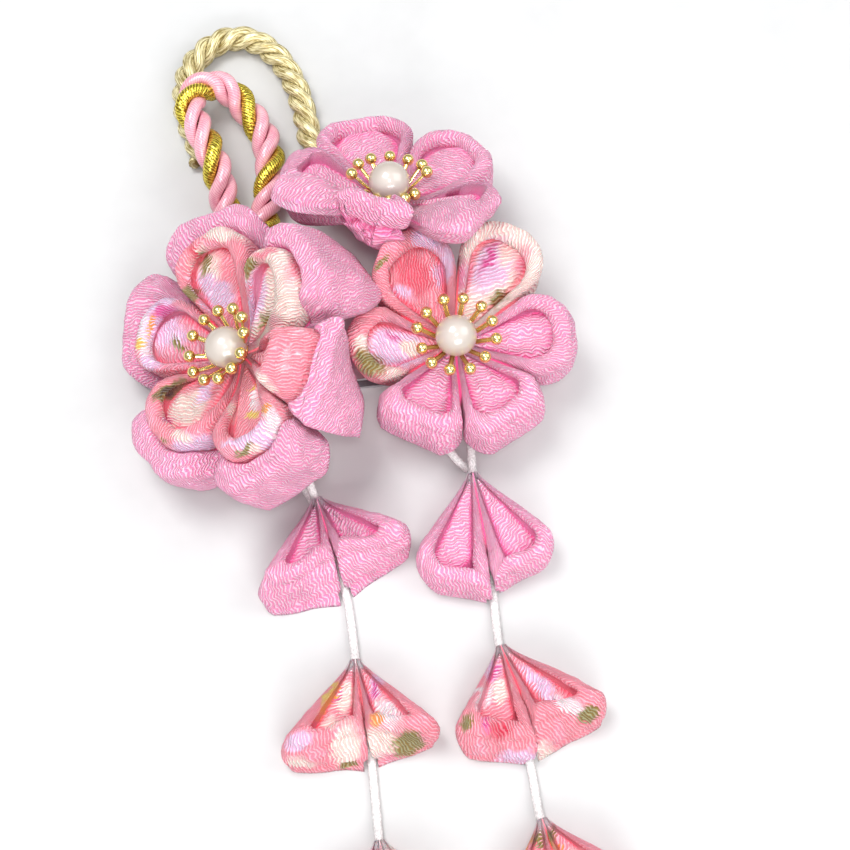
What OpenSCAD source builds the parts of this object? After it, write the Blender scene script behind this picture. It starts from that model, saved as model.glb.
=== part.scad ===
// Kanzashi hair clip: three folded-cloth flowers over a metal clip, two twisted
// ropes looped behind them and two hanging strings of folded petals, laid flat.
// Millimetres, +Z up, z = 0 is the surface that it lies on.

/* [Pearls and stamens] */
// Diameter of a pearl
pearl_d = 8; // [7:0.5:8.5]
// Stamens round each pearl
stamen_count = 12; // [8:1:14]
// Distance of the stamens' ends from the pearl's middle
stamen_reach = 7.4; // [7:0.1:8]
// Diameter of the ball on a stamen
stamen_ball_d = 2.2; // [1.6:0.1:2.4]
// Diameter of a stamen's wire
stamen_wire_d = 0.6; // [0.5:0.05:0.8]

/* [Folded cloth] */
// Gap kept on each side of a petal
petal_gap = 0.15; // [0.1:0.05:0.3]
// Half the thickness of the rolled rim
rim_roll = 1.8; // [1.5:0.1:1.9]
// How far a petal's tongue stands above the floor of its pocket
tongue_crown = 1.1; // [0.6:0.1:1.4]

/* [Ropes] */
// Length of one turn of the gold rope
gold_pitch = 12.6; // [12:0.2:14]
// Diameter of one of its strands
gold_strand_d = 2.04; // [1.8:0.02:2.04]
// Length of one turn of the satin rope
satin_pitch = 15; // [14.6:0.2:17]
// Diameter of one of its strands
satin_strand_d = 2.26; // [2.1:0.02:2.26]

/* [Strings] */
// Diameter of the white cord
cord_d = 1.7; // [1.4:0.1:1.8]

/* [Clip] */
// Width of the clip's two leaves
leaf_w = 6; // [5:0.5:6.5]
// Thickness of the clip's metal
leaf_t = 1; // [0.8:0.1:1]
// Gap between the leaves, which takes the hair
jaw_gap = 3.6; // [3:0.1:3.6]
// Diameter of the pad under a flower
pad_d = 14; // [12:0.5:14]

/* [Hidden] */
SIDES = ["a", "b"];

plain_pink = [0.95, 0.63, 0.81];
print_pink = [0.96, 0.66, 0.72];
pearl_white = [0.95, 0.90, 0.86];
bright_gold = [0.85, 0.68, 0.25];
pale_gold = [0.78, 0.70, 0.47];
satin_pink = [0.90, 0.58, 0.65];
cord_white = [0.93, 0.92, 0.90];
steel = [0.70, 0.70, 0.72];

// Columns of a flower: the middle of its base, the way it leans, how far,
// the height of its heart above the base, the heart's own extra lean, and how
// far its pad is moved the way that it leans
PLACE = 0;
LEAN_TO = 1;
LEAN = 2;
HEART_Z = 3;
HEART_LEAN = 4;
PAD_OUT = 5;
left_flower = [[-16.5, -25.8, 14.0], 179, 32, 7.1, 9, 0];
top_flower = [[8.3, 3.9, 15.5], 92, 33, 5.0, 8, 4.5];
right_flower = [[20.6, -21.2, 10.6], 290, 6, 5.0, 0, 0];

// Columns of a petal: the way it points, half the angle that it fills, how far
// out the round end of its rim lies and how high, the same two sizes for the
// foot of its wall, how square its end is (0 round, 1 straight), how much higher
// and by what share longer its rim is on the left than in the middle, the same
// share for its foot, how far the wedge of its foot is turned and widened, how
// far out its top reaches inwards, and how square its corner is on the left (+)
// or on the right (-) alone; a row may leave the last ones out
TURN = 0;
HALF = 1;
RIM_R = 2;
RIM_Z = 3;
FOOT_R = 4;
FOOT_Z = 5;
SQUARE = 6;
SLANT = 7;
SKEW = 8;
FOOT_SKEW = 9;
FOOT_TURN = 10;
FOOT_WIDEN = 11;
HUG_R = 12;
CORNER = 13;
left_inner = [
    [103.3, 27.2, 25.3, 13.0, 24.6, 0, 0.06],
    [159.5, 28.0, 23.0, 12.5, 22.4, 0, 0.06],
    [224.0, 35.5, 21.7, 12.8, 21.4, 0, 0.08],
    [286.0, 25.5, 23.0, 12.6, 22.8, 0, 0.08],
    [339.0, 27.4, 13.6, 12.6, 19.1, 0, 0.34, 0, 0, -0.02],
    [42.4, 32.8, 20.0, 12.8, 19.6, 0, 0.10, 0, 0.12, 0.12]
];
left_outer = [
    [103.3, 27.7, 31.4, 10.2, 28.6, 0, 0.18, 0, 0.05, 0.05, 0, 0, 26.2],
    [159.5, 28.5, 29.2, 10.0, 25.6, 0, 0.20, 0, -0.11, -0.11, 0, 0, 25.1],
    [224.0, 36.0, 27.5, 9.8, 27.2, 0, 0.12, 0, 0, 0, 0, 0, 23.3],
    [285.0, 25.0, 28.2, 10.0, 27.4, -3, 0.24, 0, 0, -0.04, 0, 0, 24.4],
    [338.5, 28.5, 22.0, 8.2, 18.5, -8, 0.60, 0, -0.02, -0.22, 4, -3, 21.2],
    [42.0, 32.2, 24.8, 11.4, 26.6, -8, 0.30, 0, 0.04, 0.06, 7, -8, 22.3]
];
top_plain = [
    [105.7, 28.7, 26.4, 9.4, 23.0, 0, 0.18],
    [38.5, 38.5, 22.9, 10.0, 22.0, 0, 0.12, 0, 0.07, 0.05],
    [327.5, 30.5, 22.0, 9.8, 13.3, 4, 0.25, 0, 0, 0.03, 11, -11],
    [248.5, 46.5, 10.4, 10.8, 8.1, -1, 0.85, 0, 0.08, 0.06, -12, -24],
    [168.2, 33.2, 22.2, 10.0, 20.0, 1, 0.25, 0, 0, 0, -8, -8]
];
right_mixed = [
    [5.0, 30.0, 22.4, 9.0, 23.8, 0, 0.08],
    [61.5, 26.5, 25.6, 9.2, 25.6, 0, 0.05],
    [121.0, 33.0, 23.6, 9.4, 22.6, 0, 0.03, 0, -0.03, -0.03],
    [185.0, 31.0, 20.5, 9.0, 18.7, 0, 0.06, 0, -0.03, -0.03],
    [245.7, 29.7, 18.6, 8.8, 20.5, 0, 0.30],
    [305.2, 29.8, 19.4, 8.8, 21.5, 0, 0.25]
];

// Columns of a make, which one layer's petals share: the height that they stand
// on, the height of their tips, where along a petal its rim starts and stops
// rising, how much of the half angle a rim's two edges leave, the drop from the
// rim to the pocket's floor, and the half width of the channel under the sides
BASE_Z = 0;
TIP_Z = 1;
RISE_FROM = 2;
RISE_TO = 3;
RIM_MID = 4;
RIM_IN = 5;
DEPTH = 6;
CHANNEL = 7;
single_make = [0, 4.5, 0.10, 0.85, 0.87, 0.74, 5.5, 0];
inner_make = [5, 6.3, 0.15, 0.85, 0.87, 0.74, 5.0, 0];
outer_make = [0, 4.4, 0.66, 0.90, 0.97, 0.95, 0, 0];
drop_make = [0, 4.3, 0.05, 0.90, 0.86, 0.72, 4.4, 1.1];
outer_floor = 4.2;

// Columns of a drop: the cord's point under its tip and the way it points
DROP_AT = 0;
DROP_TURN = 1;
left_drops = [[[-6.1, -49.2, 0], 287], [[1.8, -81.1, 0], 279], [[6.6, -115.0, 0], 281]];
right_drops = [[[24.2, -43.9, 0], 279], [[29.2, -78.4, 0], 284.5], [[36.4, -111.0, 0], 286]];
// Each drop's two petals; TURN is counted from the way that the drop points
left_drop_petals = [
    [
        [-23.7, 23.3, 16.6, 8.6, 22.0, 0, 0.28, -0.8, -0.26, -0.10, 0, 0, 0, 0.9],
        [26.8, 26.4, 16.0, 8.6, 19.8, 0, 0.28, 0.8, 0.24, 0.05, 0, 0, 0, -0.9]
    ],
    [
        [-24.0, 23.6, 17.4, 8.8, 21.6, 0, 0.32, -1.0, -0.22, -0.10, 0, 0, 0, 0.9],
        [20.8, 20.4, 17.4, 8.8, 20.6, 0, 0.32, 1.0, 0.20, 0.05, 0, 0, 0, -0.9]
    ],
    [
        [-23.0, 22.6, 17.5, 8.6, 21.6, 0, 0.25, -1.0, -0.20, -0.08, 0, 0, 0, 0.9],
        [23.0, 22.6, 17.5, 8.6, 21.2, 0, 0.25, 1.0, 0.20, 0.08, 0, 0, 0, -0.9]
    ]
];
right_drop_petals = [
    [
        [-21.3, 20.9, 22.3, 8.0, 24.4, 0, 0.05, -1.0, -0.03, 0, 0, 0, 0, 0.5],
        [20.7, 20.3, 21.6, 8.0, 23.0, 0, 0.08, 1.0, 0.03, 0, 0, 0, 0, -0.5]
    ],
    [
        [-18.5, 24.1, 18.8, 8.8, 21.6, 0, 0.18, -1.0, 0, 0, -3, -3, 0, 0.8],
        [26.9, 20.9, 19.0, 8.8, 22.6, 0, 0.30, 1.0, 0.18, 0.06, -3, 2.8, 0, -0.8]
    ],
    [
        [-22.0, 21.6, 18.5, 8.6, 21.8, 0, 0.22, -1.0, -0.15, -0.06, 0, 0, 0, 0.9],
        [22.0, 21.6, 19.0, 8.6, 22.2, 0, 0.22, 1.0, 0.15, 0.06, 0, 0, 0, -0.9]
    ]
];

// Routes, as points chosen by hand
gold_route = [
    [-1.4, 10.8, 7.1], [-3.8, 15.6, 4.2], [-5.8, 20.5, 2.9], [-7.0, 24.5, 2.8],
    [-8.8, 29.0, 2.7], [-10.1, 35.0, 2.7],
    [-12.2, 41.6, 2.7], [-15.8, 47.7, 2.7], [-20.8, 51.6, 2.7], [-26.2, 52.1, 2.7],
    [-31.0, 49.3, 2.7], [-34.2, 44.3, 2.7], [-35.0, 38.5, 2.7], [-34.0, 32.8, 2.7],
    [-32.0, 27.5, 2.7], [-31.0, 23.5, 2.7]
];
satin_route = [
    [-24.4, -1.0, 5.4], [-24.5, 4.0, 4.3], [-25.0, 9.5, 4.2], [-25.9, 14.5, 5.6], [-27.2, 19.5, 8.2],
    [-29.4, 24.6, 8.9], [-31.8, 29.6, 8.9], [-33.0, 33.4, 8.9], [-31.6, 37.0, 8.6],
    [-28.2, 38.6, 7.6], [-24.6, 37.2, 6.2], [-21.8, 34.2, 4.8], [-19.2, 31.0, 4.0],
    [-17.5, 27.0, 3.6], [-16.7, 21.8, 3.5], [-16.8, 16.4, 3.5], [-17.4, 11.0, 3.5],
    [-17.8, 6.0, 4.1], [-17.6, 1.0, 6.4], [-17.5, -4.0, 9.2]
];
left_cord_route = [
    [-6.4, -49.0, 2.8], [-8.4, -43.6, 5.2], [-10.8, -36.6, 7.2], [-12.0, -29.6, 7.4],
    [-12.1, -25.6, 7.4], [-13.2, -22.9, 7.4], [-15.7, -21.9, 7.4], [-18.2, -22.9, 7.4],
    [-19.3, -25.6, 7.4], [-18.0, -31.2, 7.4], [-14.2, -37.6, 6.6], [-10.6, -43.4, 3.6],
    [-7.4, -48.4, 1.2], [-4.6, -53.9, 0.9], [-2.0, -61.6, 0.9], [0.2, -69.4, 0.9],
    [1.2, -76.0, 0.9], [2.0, -82.0, 0.9], [3.4, -90.6, 0.9], [4.9, -99.4, 0.9],
    [5.8, -107.6, 0.9], [6.5, -114.4, 0.9], [7.8, -121.6, 0.9], [9.2, -128.6, 0.9]
];
right_cord_route = [
    [23.4, -42.6, 1.0], [20.6, -40.4, 2.8], [17.8, -36.6, 5.6], [16.6, -31.0, 6.6],
    [16.6, -25.0, 6.7], [17.0, -20.9, 6.7], [18.2, -18.5, 6.7], [20.6, -17.4, 6.7],
    [23.0, -18.5, 6.7], [24.2, -20.9, 6.7], [24.4, -26.0, 6.7], [24.2, -32.0, 6.2],
    [24.0, -38.0, 3.6], [24.2, -42.4, 2.6], [24.9, -47.6, 1.1], [26.0, -54.6, 0.9],
    [27.4, -62.0, 0.9], [28.2, -69.4, 0.9], [28.8, -75.6, 0.9], [29.7, -80.8, 0.9],
    [31.6, -88.2, 0.9], [33.6, -96.0, 0.9], [35.0, -102.6, 0.9], [35.9, -108.6, 0.9],
    [37.2, -114.4, 0.9], [39.2, -121.4, 0.9], [41.0, -127.6, 0.9]
];

function mix(a, b, t) = a + (b - a) * t;
function clamp01(t) = min(1, max(0, t));
function smooth(t) = clamp01(t) * clamp01(t) * (3 - 2 * clamp01(t));
function unit(v) = v / norm(v);
function turned(v, a) = [v[0] * cos(a) - v[1] * sin(a), v[0] * sin(a) + v[1] * cos(a)];
function option(row, column) = len(row) > column ? row[column] : 0;

// Petals

ARC_STEPS = 8;
SIDE_SHARES = [0.38, 0.72];
RING = ARC_STEPS + 2 * len(SIDE_SHARES) + 2;

// One ring's outline, from the tip round the end and back: a wedge closed by an
// arc that touches both of its sides, pushed out towards the corners by square
// and out on the left or the right by skew; a straight end stays a little convex
END_BULGE = 0.94;
function outline(half, reach, tip, square, skew, one_corner = 0) =
    let (
        r = (reach - tip) * sin(half) / (1 + sin(half)),
        c = reach - r,
        arc = [for (k = [0:ARC_STEPS])
            let (
                t = 2 * k / ARC_STEPS - 1,
                a = (90 + half) * t,
                corner = pow(1 / max(cos(a), cos(abs(a) - 90 - half)), END_BULGE),
                bite = square + max(0, one_corner * sign(t)),
                d = r * min(corner, 1 + 1.3 * bite * sin(180 * abs(t))),
                side = skew * sin(a)
            )
            (1 + side) * [c + d * cos(a), d * sin(a)]
        ],
        right = [for (s = SIDE_SHARES) mix([tip, 0], arc[0], s)],
        left = [for (k = [len(SIDE_SHARES) - 1:-1:0]) mix([tip, 0], arc[ARC_STEPS], SIDE_SHARES[k])]
    )
    concat([[tip, 0]], right, arc, left);

// Heights along a petal, where s is 0 at its tip and 1 at its round end
function rim_height(p, m, s) =
    mix(m[TIP_Z], p[RIM_Z], smooth((s - m[RISE_FROM]) / (m[RISE_TO] - m[RISE_FROM])));
function foot_height(p, m, s) = m[BASE_Z] + p[FOOT_Z] * smooth((s - 0.45) / 0.55);
function pocket_height(p, m, s) =
    m[DEPTH] == 0 ? outer_floor : mix(m[TIP_Z] - 0.6, p[RIM_Z] - m[DEPTH], s);

// Columns of a petal's section, from its foot over the rim into the pocket: the
// share of the half angle, the share of the way from foot to rim, the rolls
// inwards, the rolls down from the rim's top, and how far the tip is set back
WIDE = 0;
UP = 1;
INWARD = 2;
DOWN = 3;
BACK = 4;
function section(p, m) = [
    [1.00, 0.00, 0.0, 0.0, 0.0],
    [1.00, 0.35, 0.0, 0.0, 0.1],
    [1.00, 0.70, 0.0, 0.0, 0.2],
    [0.99, 1.00, 0.0, 0.9, 0.2],
    [m[RIM_MID], 1.00, 1.0, 0.0, 0.9],
    [m[RIM_IN], 1.00, p[HUG_R] ? (p[RIM_R] - p[HUG_R]) / rim_roll : 2, 0.9, 1.5]
];
function roll_at(s) = rim_roll * min(1, 0.4 + s);
function wall_bulge(up) = up > 0 && up < 1 ? 0.4 : 0;

// The channel is cut from the wall's lower part, so the petals close over the cord
channel_top = 0.7;
function tip_back(p, m, row) =
    (petal_gap + m[CHANNEL] * min(1, max(0, 2 - 2 * row[UP] / channel_top))) / sin(p[HALF]) + row[BACK];

function petal_ring(p, m, row) =
    let (
        reach = mix(p[FOOT_R], p[RIM_R], row[UP]) + wall_bulge(row[UP]) - row[INWARD] * rim_roll,
        tip = tip_back(p, m, row),
        half = (p[HALF] + (1 - row[UP]) * option(p, FOOT_WIDEN)) * row[WIDE],
        edge = reach * sin(half),
        skew = mix(option(p, FOOT_SKEW), option(p, SKEW), row[UP]),
        turn = (1 - row[UP]) * option(p, FOOT_TURN)
    )
    [for (q = outline(half, reach, tip, p[SQUARE], skew, option(p, CORNER)))
        let (
            s = (q[0] - tip) / (reach - tip),
            slant = option(p, SLANT) * s * q[1] / edge,
            top = rim_height(p, m, s) - row[DOWN] * roll_at(s) + slant
        )
        [turned(q, turn)[0], turned(q, turn)[1], mix(foot_height(p, m, s), top, row[UP])]
    ];

// The pocket's floor, and the tongue of cloth that runs along its middle
rim_depth = 2.1 * rim_roll;
function pocket_ring(p, m, wide, end, back, crown) =
    let (
        reach = (p[HUG_R] ? p[HUG_R] - 0.2 : p[RIM_R] - rim_depth) * end,
        tip = petal_gap / sin(p[HALF]) + back
    )
    [for (q = outline(p[HALF] * wide, reach, tip, p[SQUARE] * 0.5, option(p, SKEW)))
        let (s = (q[0] - tip) / (reach - tip))
        [q[0], q[1], pocket_height(p, m, s * end) + crown * (1 - 0.7 * s)]
    ];

function petal_rings(p, m) = concat(
    [for (row = section(p, m)) petal_ring(p, m, row)],
    [
        pocket_ring(p, m, m[RIM_IN] - 0.04, 1, 1.8, 0),
        pocket_ring(p, m, m[RIM_IN] * 0.5, 0.88, 2.6, m[DEPTH] == 0 ? 0 : tongue_crown)
    ]
);

// Triangles between two rings, and across the first or the last ring
function band_faces(k) = [for (i = [0:RING - 1]) let (a = k * RING + i, b = k * RING + (i + 1) % RING)
    each [[a, a + RING, b + RING], [a, b + RING, b]]];
function cap_faces(k, flip) =
    let (
        pairs = RING / 2,
        o = k * RING,
        faces = concat(
            [[o, o + 1, o + RING - 1]],
            [for (i = [1:pairs - 2]) each [
                [o + i, o + i + 1, o + RING - i - 1],
                [o + i, o + RING - i - 1, o + RING - i]
            ]],
            [[o + pairs - 1, o + pairs, o + pairs + 1]]
        )
    )
    flip ? [for (f = faces) [f[2], f[1], f[0]]] : faces;

module petal(p, m) {
    rings = petal_rings(p, m);
    polyhedron(
        points = [for (r = rings) each r],
        faces = concat(
            cap_faces(0, false),
            [for (k = [0:len(rings) - 2]) each band_faces(k)],
            cap_faces(len(rings) - 1, true)
        )
    );
}

module on_flower(f) {
    translate(f[PLACE])
        rotate([0, 0, f[LEAN_TO]])
            rotate([0, f[LEAN], 0])
                rotate([0, 0, -f[LEAN_TO]])
                    children();
}

module flower_petal(f, p, m, paint) {
    color(paint)
        on_flower(f)
            rotate([0, 0, p[TURN]])
                petal(p, m);
}

module drop_petal(d, p, paint) {
    color(paint)
        translate(d[DROP_AT])
            rotate([0, 0, d[DROP_TURN] + p[TURN]])
                petal(p, drop_make);
}

// Pearls and stamens

cup_r = 2.4;
cup_t = 0.6;
seat_gap = 0.1;
ball_rise = 1.3;

module on_heart(f) {
    on_flower(f)
        translate([0, 0, f[HEART_Z]])
            rotate([0, 0, f[LEAN_TO]])
                rotate([0, f[HEART_LEAN], 0])
                    rotate([0, 0, -f[LEAN_TO]])
                        children();
}

pearl_z = cup_t + seat_gap + pearl_d / 2;

module pearl(f) {
    color(pearl_white)
        on_heart(f)
            translate([0, 0, pearl_z])
                sphere(d = pearl_d, $fn = 48);
}

module stamen() {
    foot = cup_r - 0.5;
    rise = pearl_z + ball_rise - cup_t / 2;
    run = stamen_reach - foot;
    translate([foot, 0, cup_t / 2])
        rotate([0, atan2(run, rise), 0])
            cylinder(d = stamen_wire_d, h = norm([run, rise]), $fn = 16);
    translate([stamen_reach, 0, pearl_z + ball_rise])
        sphere(d = stamen_ball_d, $fn = 24);
}

module stamens(f) {
    color(bright_gold)
        on_heart(f) {
            cylinder(r = cup_r, h = cup_t, $fn = 32);
            for (i = [0:stamen_count - 1])
                rotate([0, 0, i * 360 / stamen_count])
                    stamen();
        }
}

// Tubes along a route

// Catmull-Rom curve through the route, with the ends repeated
function route_at(r, i) = r[min(len(r) - 1, max(0, i))];
function curve_point(r, i, t) =
    let (a = route_at(r, i - 1), b = route_at(r, i), c = route_at(r, i + 1), d = route_at(r, i + 2))
    0.5 * (2 * b + (c - a) * t + (2 * a - 5 * b + 4 * c - d) * t * t
        + (3 * b - a - 3 * c + d) * t * t * t);
function curve(r, steps) = concat(
    [for (i = [0:len(r) - 2]) for (k = [0:steps - 1]) curve_point(r, i, k / steps)],
    [r[len(r) - 1]]
);
function along(c, i) = unit(c[min(len(c) - 1, i + 1)] - c[max(0, i - 1)]);

// Distance run along a curve up to each of its points
function runs(c) = [for (i = 0, d = 0; i < len(c);
    i = i + 1, d = i < len(c) ? d + norm(c[i] - c[i - 1]) : d) d];

module tube(c, d, sides) {
    rings = [for (i = [0:len(c) - 1])
        let (t = along(c, i), u = unit(cross([0, 0, 1], t)), v = cross(t, u))
        for (k = [0:sides - 1]) c[i] + d / 2 * (cos(360 * k / sides) * u + sin(360 * k / sides) * v)];
    last = (len(c) - 1) * sides;
    polyhedron(
        points = rings,
        faces = concat(
            [[for (k = [0:sides - 1]) k]],
            [for (i = [0:len(c) - 2]) for (k = [0:sides - 1])
                let (a = i * sides + k, b = i * sides + (k + 1) % sides)
                each [[a, a + sides, b + sides], [a, b + sides, b]]],
            [[for (k = [sides - 1:-1:0]) last + k]]
        )
    );
}

// Centre line of one strand of a rope: it winds round the rope's own curve
function strand(c, pitch, radius, start, hand) =
    let (run = runs(c))
    [for (i = [0:len(c) - 1])
        let (
            t = along(c, i),
            u = unit(cross([0, 0, 1], t)),
            v = cross(t, u),
            a = start + hand * 360 * run[i] / pitch
        )
        c[i] + radius * (cos(a) * u + sin(a) * v)
    ];

gold_helix_r = 1.45;
satin_helix_r = 1.82;
rope_steps = 3;
rope_sides = 6;
cord_steps = 2;
cord_sides = 8;
LEFT_HANDED = -1;
RIGHT_HANDED = 1;

module gold_strand(i) {
    color(pale_gold)
        tube(strand(curve(gold_route, rope_steps), gold_pitch, gold_helix_r, 120 * i, LEFT_HANDED),
            gold_strand_d, rope_sides);
}

module satin_strand(i, paint) {
    color(paint)
        tube(strand(curve(satin_route, rope_steps), satin_pitch, satin_helix_r, 120 * i, RIGHT_HANDED),
            satin_strand_d, rope_sides);
}

module white_cord(route) {
    color(cord_white)
        tube(curve(route, cord_steps), cord_d, cord_sides);
}

// Clip

post_d = 5;
leaf_from = [-19, -24.9];
leaf_to = [25, -19.6];
arm_w = 4.4;
arm_from = [13.5, -22];
arm_knee = [13.5, -8];
arm_t = 0.8;
knee_d = 5.2;
pad_t = 1.1;
pad_gap = 0.3;
arm_z = leaf_t + jaw_gap + (leaf_t - arm_t) / 2;
bend_r = jaw_gap / 2;

module bar(from, to, w, t) {
    v = to - from;
    translate([from[0], from[1], 0])
        rotate([0, 0, atan2(v[1], v[0])])
            translate([0, -w / 2, 0])
                cube([norm(v), w, t]);
}

// The two leaves and the bend that joins them, as one strip of metal
module leaves() {
    v = leaf_to - leaf_from;
    run = norm(v);
    translate([leaf_from[0], leaf_from[1], 0])
        rotate([0, 0, atan2(v[1], v[0])])
            rotate([90, 0, 0])
                translate([0, 0, -leaf_w / 2])
                    linear_extrude(leaf_w)
                        difference() {
                            union() {
                                square([run, 2 * leaf_t + jaw_gap]);
                                translate([run, leaf_t + bend_r])
                                    circle(r = bend_r + leaf_t, $fn = 48);
                            }
                            translate([-1, leaf_t])
                                square([run + 1, jaw_gap]);
                            translate([run, leaf_t + bend_r])
                                circle(r = bend_r, $fn = 48);
                        }
}

module on_pad(f) {
    a = f[LEAN_TO];
    on_flower(f)
        translate([f[PAD_OUT] * cos(a), f[PAD_OUT] * sin(a), -pad_gap - pad_t])
            children();
}

// The middle of the underside of a flower's pad
function pad_middle(f) =
    let (
        a = f[LEAN_TO],
        b = f[LEAN],
        sunk = pad_gap + pad_t,
        out = f[PAD_OUT] * cos(b) - sunk * sin(b)
    )
    f[PLACE] + [out * cos(a), out * sin(a), -f[PAD_OUT] * sin(b) - sunk * cos(b)];

module pad(f) {
    on_pad(f)
        cylinder(d = pad_d, h = pad_t, $fn = 48);
}

// A post stands in the upper leaf or the arm and ends inside its tilted pad
module post(f) {
    p = pad_middle(f);
    intersection() {
        translate([p[0], p[1], arm_z + arm_t / 2])
            cylinder(d = post_d, h = 30, $fn = 32);
        on_pad(f)
            translate([0, 0, pad_t / 2 - 20])
                cylinder(r = 20, h = 20, $fn = 48);
    }
}

module clip() {
    top_foot = pad_middle(top_flower);
    color(steel) {
        leaves();
        translate([0, 0, arm_z]) {
            bar(arm_from, arm_knee, arm_w, arm_t);
            bar(arm_knee, [top_foot[0], top_foot[1]], arm_w, arm_t);
            translate([arm_knee[0], arm_knee[1], 0])
                cylinder(d = knee_d, h = arm_t, $fn = 32);
        }
        for (f = [left_flower, top_flower, right_flower]) {
            pad(f);
            post(f);
        }
    }
}

module petals(prefix, f, rows, m, paints) {
    for (i = [0:len(rows) - 1])
        flower_petal(f, rows[i], m, paints[i]);
}

module drops(prefix, places, pairs, paints) {
    for (i = [0:len(places) - 1])
        for (s = [0:1])
            drop_petal(places[i], pairs[i][s], paints[i]);
}

all_print = [for (i = [1:6]) print_pink];
all_plain = [for (i = [1:6]) plain_pink];
right_paints = [plain_pink, print_pink, print_pink, print_pink, plain_pink, plain_pink];
drop_paints = [plain_pink, print_pink, print_pink];

petals("left_inner_petal_", left_flower, left_inner, inner_make, all_print);
petals("left_outer_petal_", left_flower, left_outer, outer_make, all_plain);
petals("top_petal_", top_flower, top_plain, single_make, all_plain);
petals("right_petal_", right_flower, right_mixed, single_make, right_paints);
drops("left_drop_", left_drops, left_drop_petals, drop_paints);
drops("right_drop_", right_drops, right_drop_petals, drop_paints);
pearl(left_flower);  // left_pearl
pearl(top_flower);  // top_pearl
pearl(right_flower);  // right_pearl
stamens(left_flower);  // left_stamens
stamens(top_flower);  // top_stamens
stamens(right_flower);  // right_stamens
gold_strand(0);  // gold_rope_strand_1
gold_strand(1);  // gold_rope_strand_2
gold_strand(2);  // gold_rope_strand_3
satin_strand(0, satin_pink);  // satin_rope_strand_1
satin_strand(1, satin_pink);  // satin_rope_strand_2
satin_strand(2, bright_gold);  // lame_rope_strand
white_cord(left_cord_route);  // left_cord
white_cord(right_cord_route);  // right_cord
clip();
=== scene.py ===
import random
from collections import namedtuple
from math import cos, degrees, exp, pi, radians, sin, sqrt

import bpy
import numpy as np
from mathutils import Matrix, Vector
from mathutils.bvhtree import BVHTree


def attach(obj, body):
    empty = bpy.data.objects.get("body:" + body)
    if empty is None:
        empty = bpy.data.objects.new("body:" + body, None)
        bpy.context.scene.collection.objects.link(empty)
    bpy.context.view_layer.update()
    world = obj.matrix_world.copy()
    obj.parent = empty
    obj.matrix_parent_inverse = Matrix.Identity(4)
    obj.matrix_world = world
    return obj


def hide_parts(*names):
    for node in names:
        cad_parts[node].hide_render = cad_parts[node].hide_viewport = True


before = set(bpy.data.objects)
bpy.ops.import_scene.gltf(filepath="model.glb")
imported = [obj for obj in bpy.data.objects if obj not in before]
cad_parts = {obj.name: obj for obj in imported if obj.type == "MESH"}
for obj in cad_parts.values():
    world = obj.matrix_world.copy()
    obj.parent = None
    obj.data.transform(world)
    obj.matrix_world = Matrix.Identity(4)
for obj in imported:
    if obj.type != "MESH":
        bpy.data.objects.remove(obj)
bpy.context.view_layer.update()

MM = 0.001
rng = random.Random(7)

# ---- camera

EYE = Vector((0.015, -0.1773, 0.4008))
AIM = Vector((0.015, -0.033, 0.0))
LENS = 91.23
SENSOR = 36.0
# the photograph's width in pixels, and a pixel's width at a distance of 1
FRAME_PX = 850.0
PX_SLOPE = SENSOR / LENS / FRAME_PX

cam_data = bpy.data.cameras.new("camera")
cam_data.lens = LENS
cam_data.sensor_width = SENSOR
cam_data.clip_start = 0.01
cam_data.clip_end = 10
camera = bpy.data.objects.new("camera", cam_data)
bpy.context.scene.collection.objects.link(camera)
camera.location = EYE
look_at = (AIM - EYE).to_track_quat("-Z", "Y")
camera.rotation_euler = look_at.to_euler()
bpy.context.scene.camera = camera
CAM_TURN = look_at.to_matrix()
CAM_X, CAM_Y, CAM_Z = (CAM_TURN @ Vector(axis) for axis in ((1, 0, 0), (0, 1, 0), (0, 0, 1)))


def px_ray(x, y):
    """Direction from the camera through a pixel of the photograph."""
    d = Vector(((x - FRAME_PX / 2) * PX_SLOPE, (FRAME_PX / 2 - y) * PX_SLOPE, -1))
    return (CAM_TURN @ d).normalized()


# ---- small helpers

def lerp(a, b, t):
    return a + (b - a) * t


def smooth(t):
    t = np.clip(t, 0, 1)
    return t * t * (3 - 2 * t)


def unit(v):
    return v / np.linalg.norm(v, axis=-1, keepdims=True)


def waves(points, size, seed, count=9):
    """Smooth seeded noise in about -1 to 1 at points in mm, from plane waves of about that size."""
    r = np.random.RandomState(seed)
    total = np.zeros(points.shape[:-1])
    for _ in range(count):
        k = unit(r.normal(size=3)) * 2 * pi / (size * r.uniform(0.75, 1.4))
        total += np.sin(points @ k + r.uniform(0, 6.28))
    return total / sqrt(count) / 1.4


def link(obj):
    bpy.context.scene.collection.objects.link(obj)
    return obj


def ring_faces(rows, cols):
    """Faces between closed rings of points."""
    i, j = np.meshgrid(np.arange(rows - 1), np.arange(cols), indexing="ij")
    k = (j + 1) % cols
    quads = np.stack([i * cols + j, i * cols + k, (i + 1) * cols + k, (i + 1) * cols + j], -1).reshape(-1, 4)
    return [tuple(q) for q in quads]


def make_mesh(name, verts, faces, material):
    """An object from points in mm."""
    mesh = bpy.data.meshes.new(name)
    mesh.from_pydata((np.asarray(verts) * MM).tolist(), [], [tuple(map(int, f)) for f in faces])
    mesh.materials.append(material)
    mesh.validate()
    mesh.shade_smooth()
    mesh.update()
    return link(bpy.data.objects.new(name, mesh))


def moved(points, place):
    """The points as an array, moved by a matrix."""
    m = np.array(place)
    return np.array(points, dtype=float) @ m[:3, :3].T + m[:3, 3]


def point_vectors(obj, name, values):
    layer = obj.data.attributes.new(name, "FLOAT_VECTOR", "POINT")
    layer.data.foreach_set("vector", np.asarray(values, dtype=np.float32).ravel())


def stand_for(obj, node):
    """The object takes the node's place on the one body that there is."""
    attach(obj, "root")
    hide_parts(node)


# ---- materials

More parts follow.
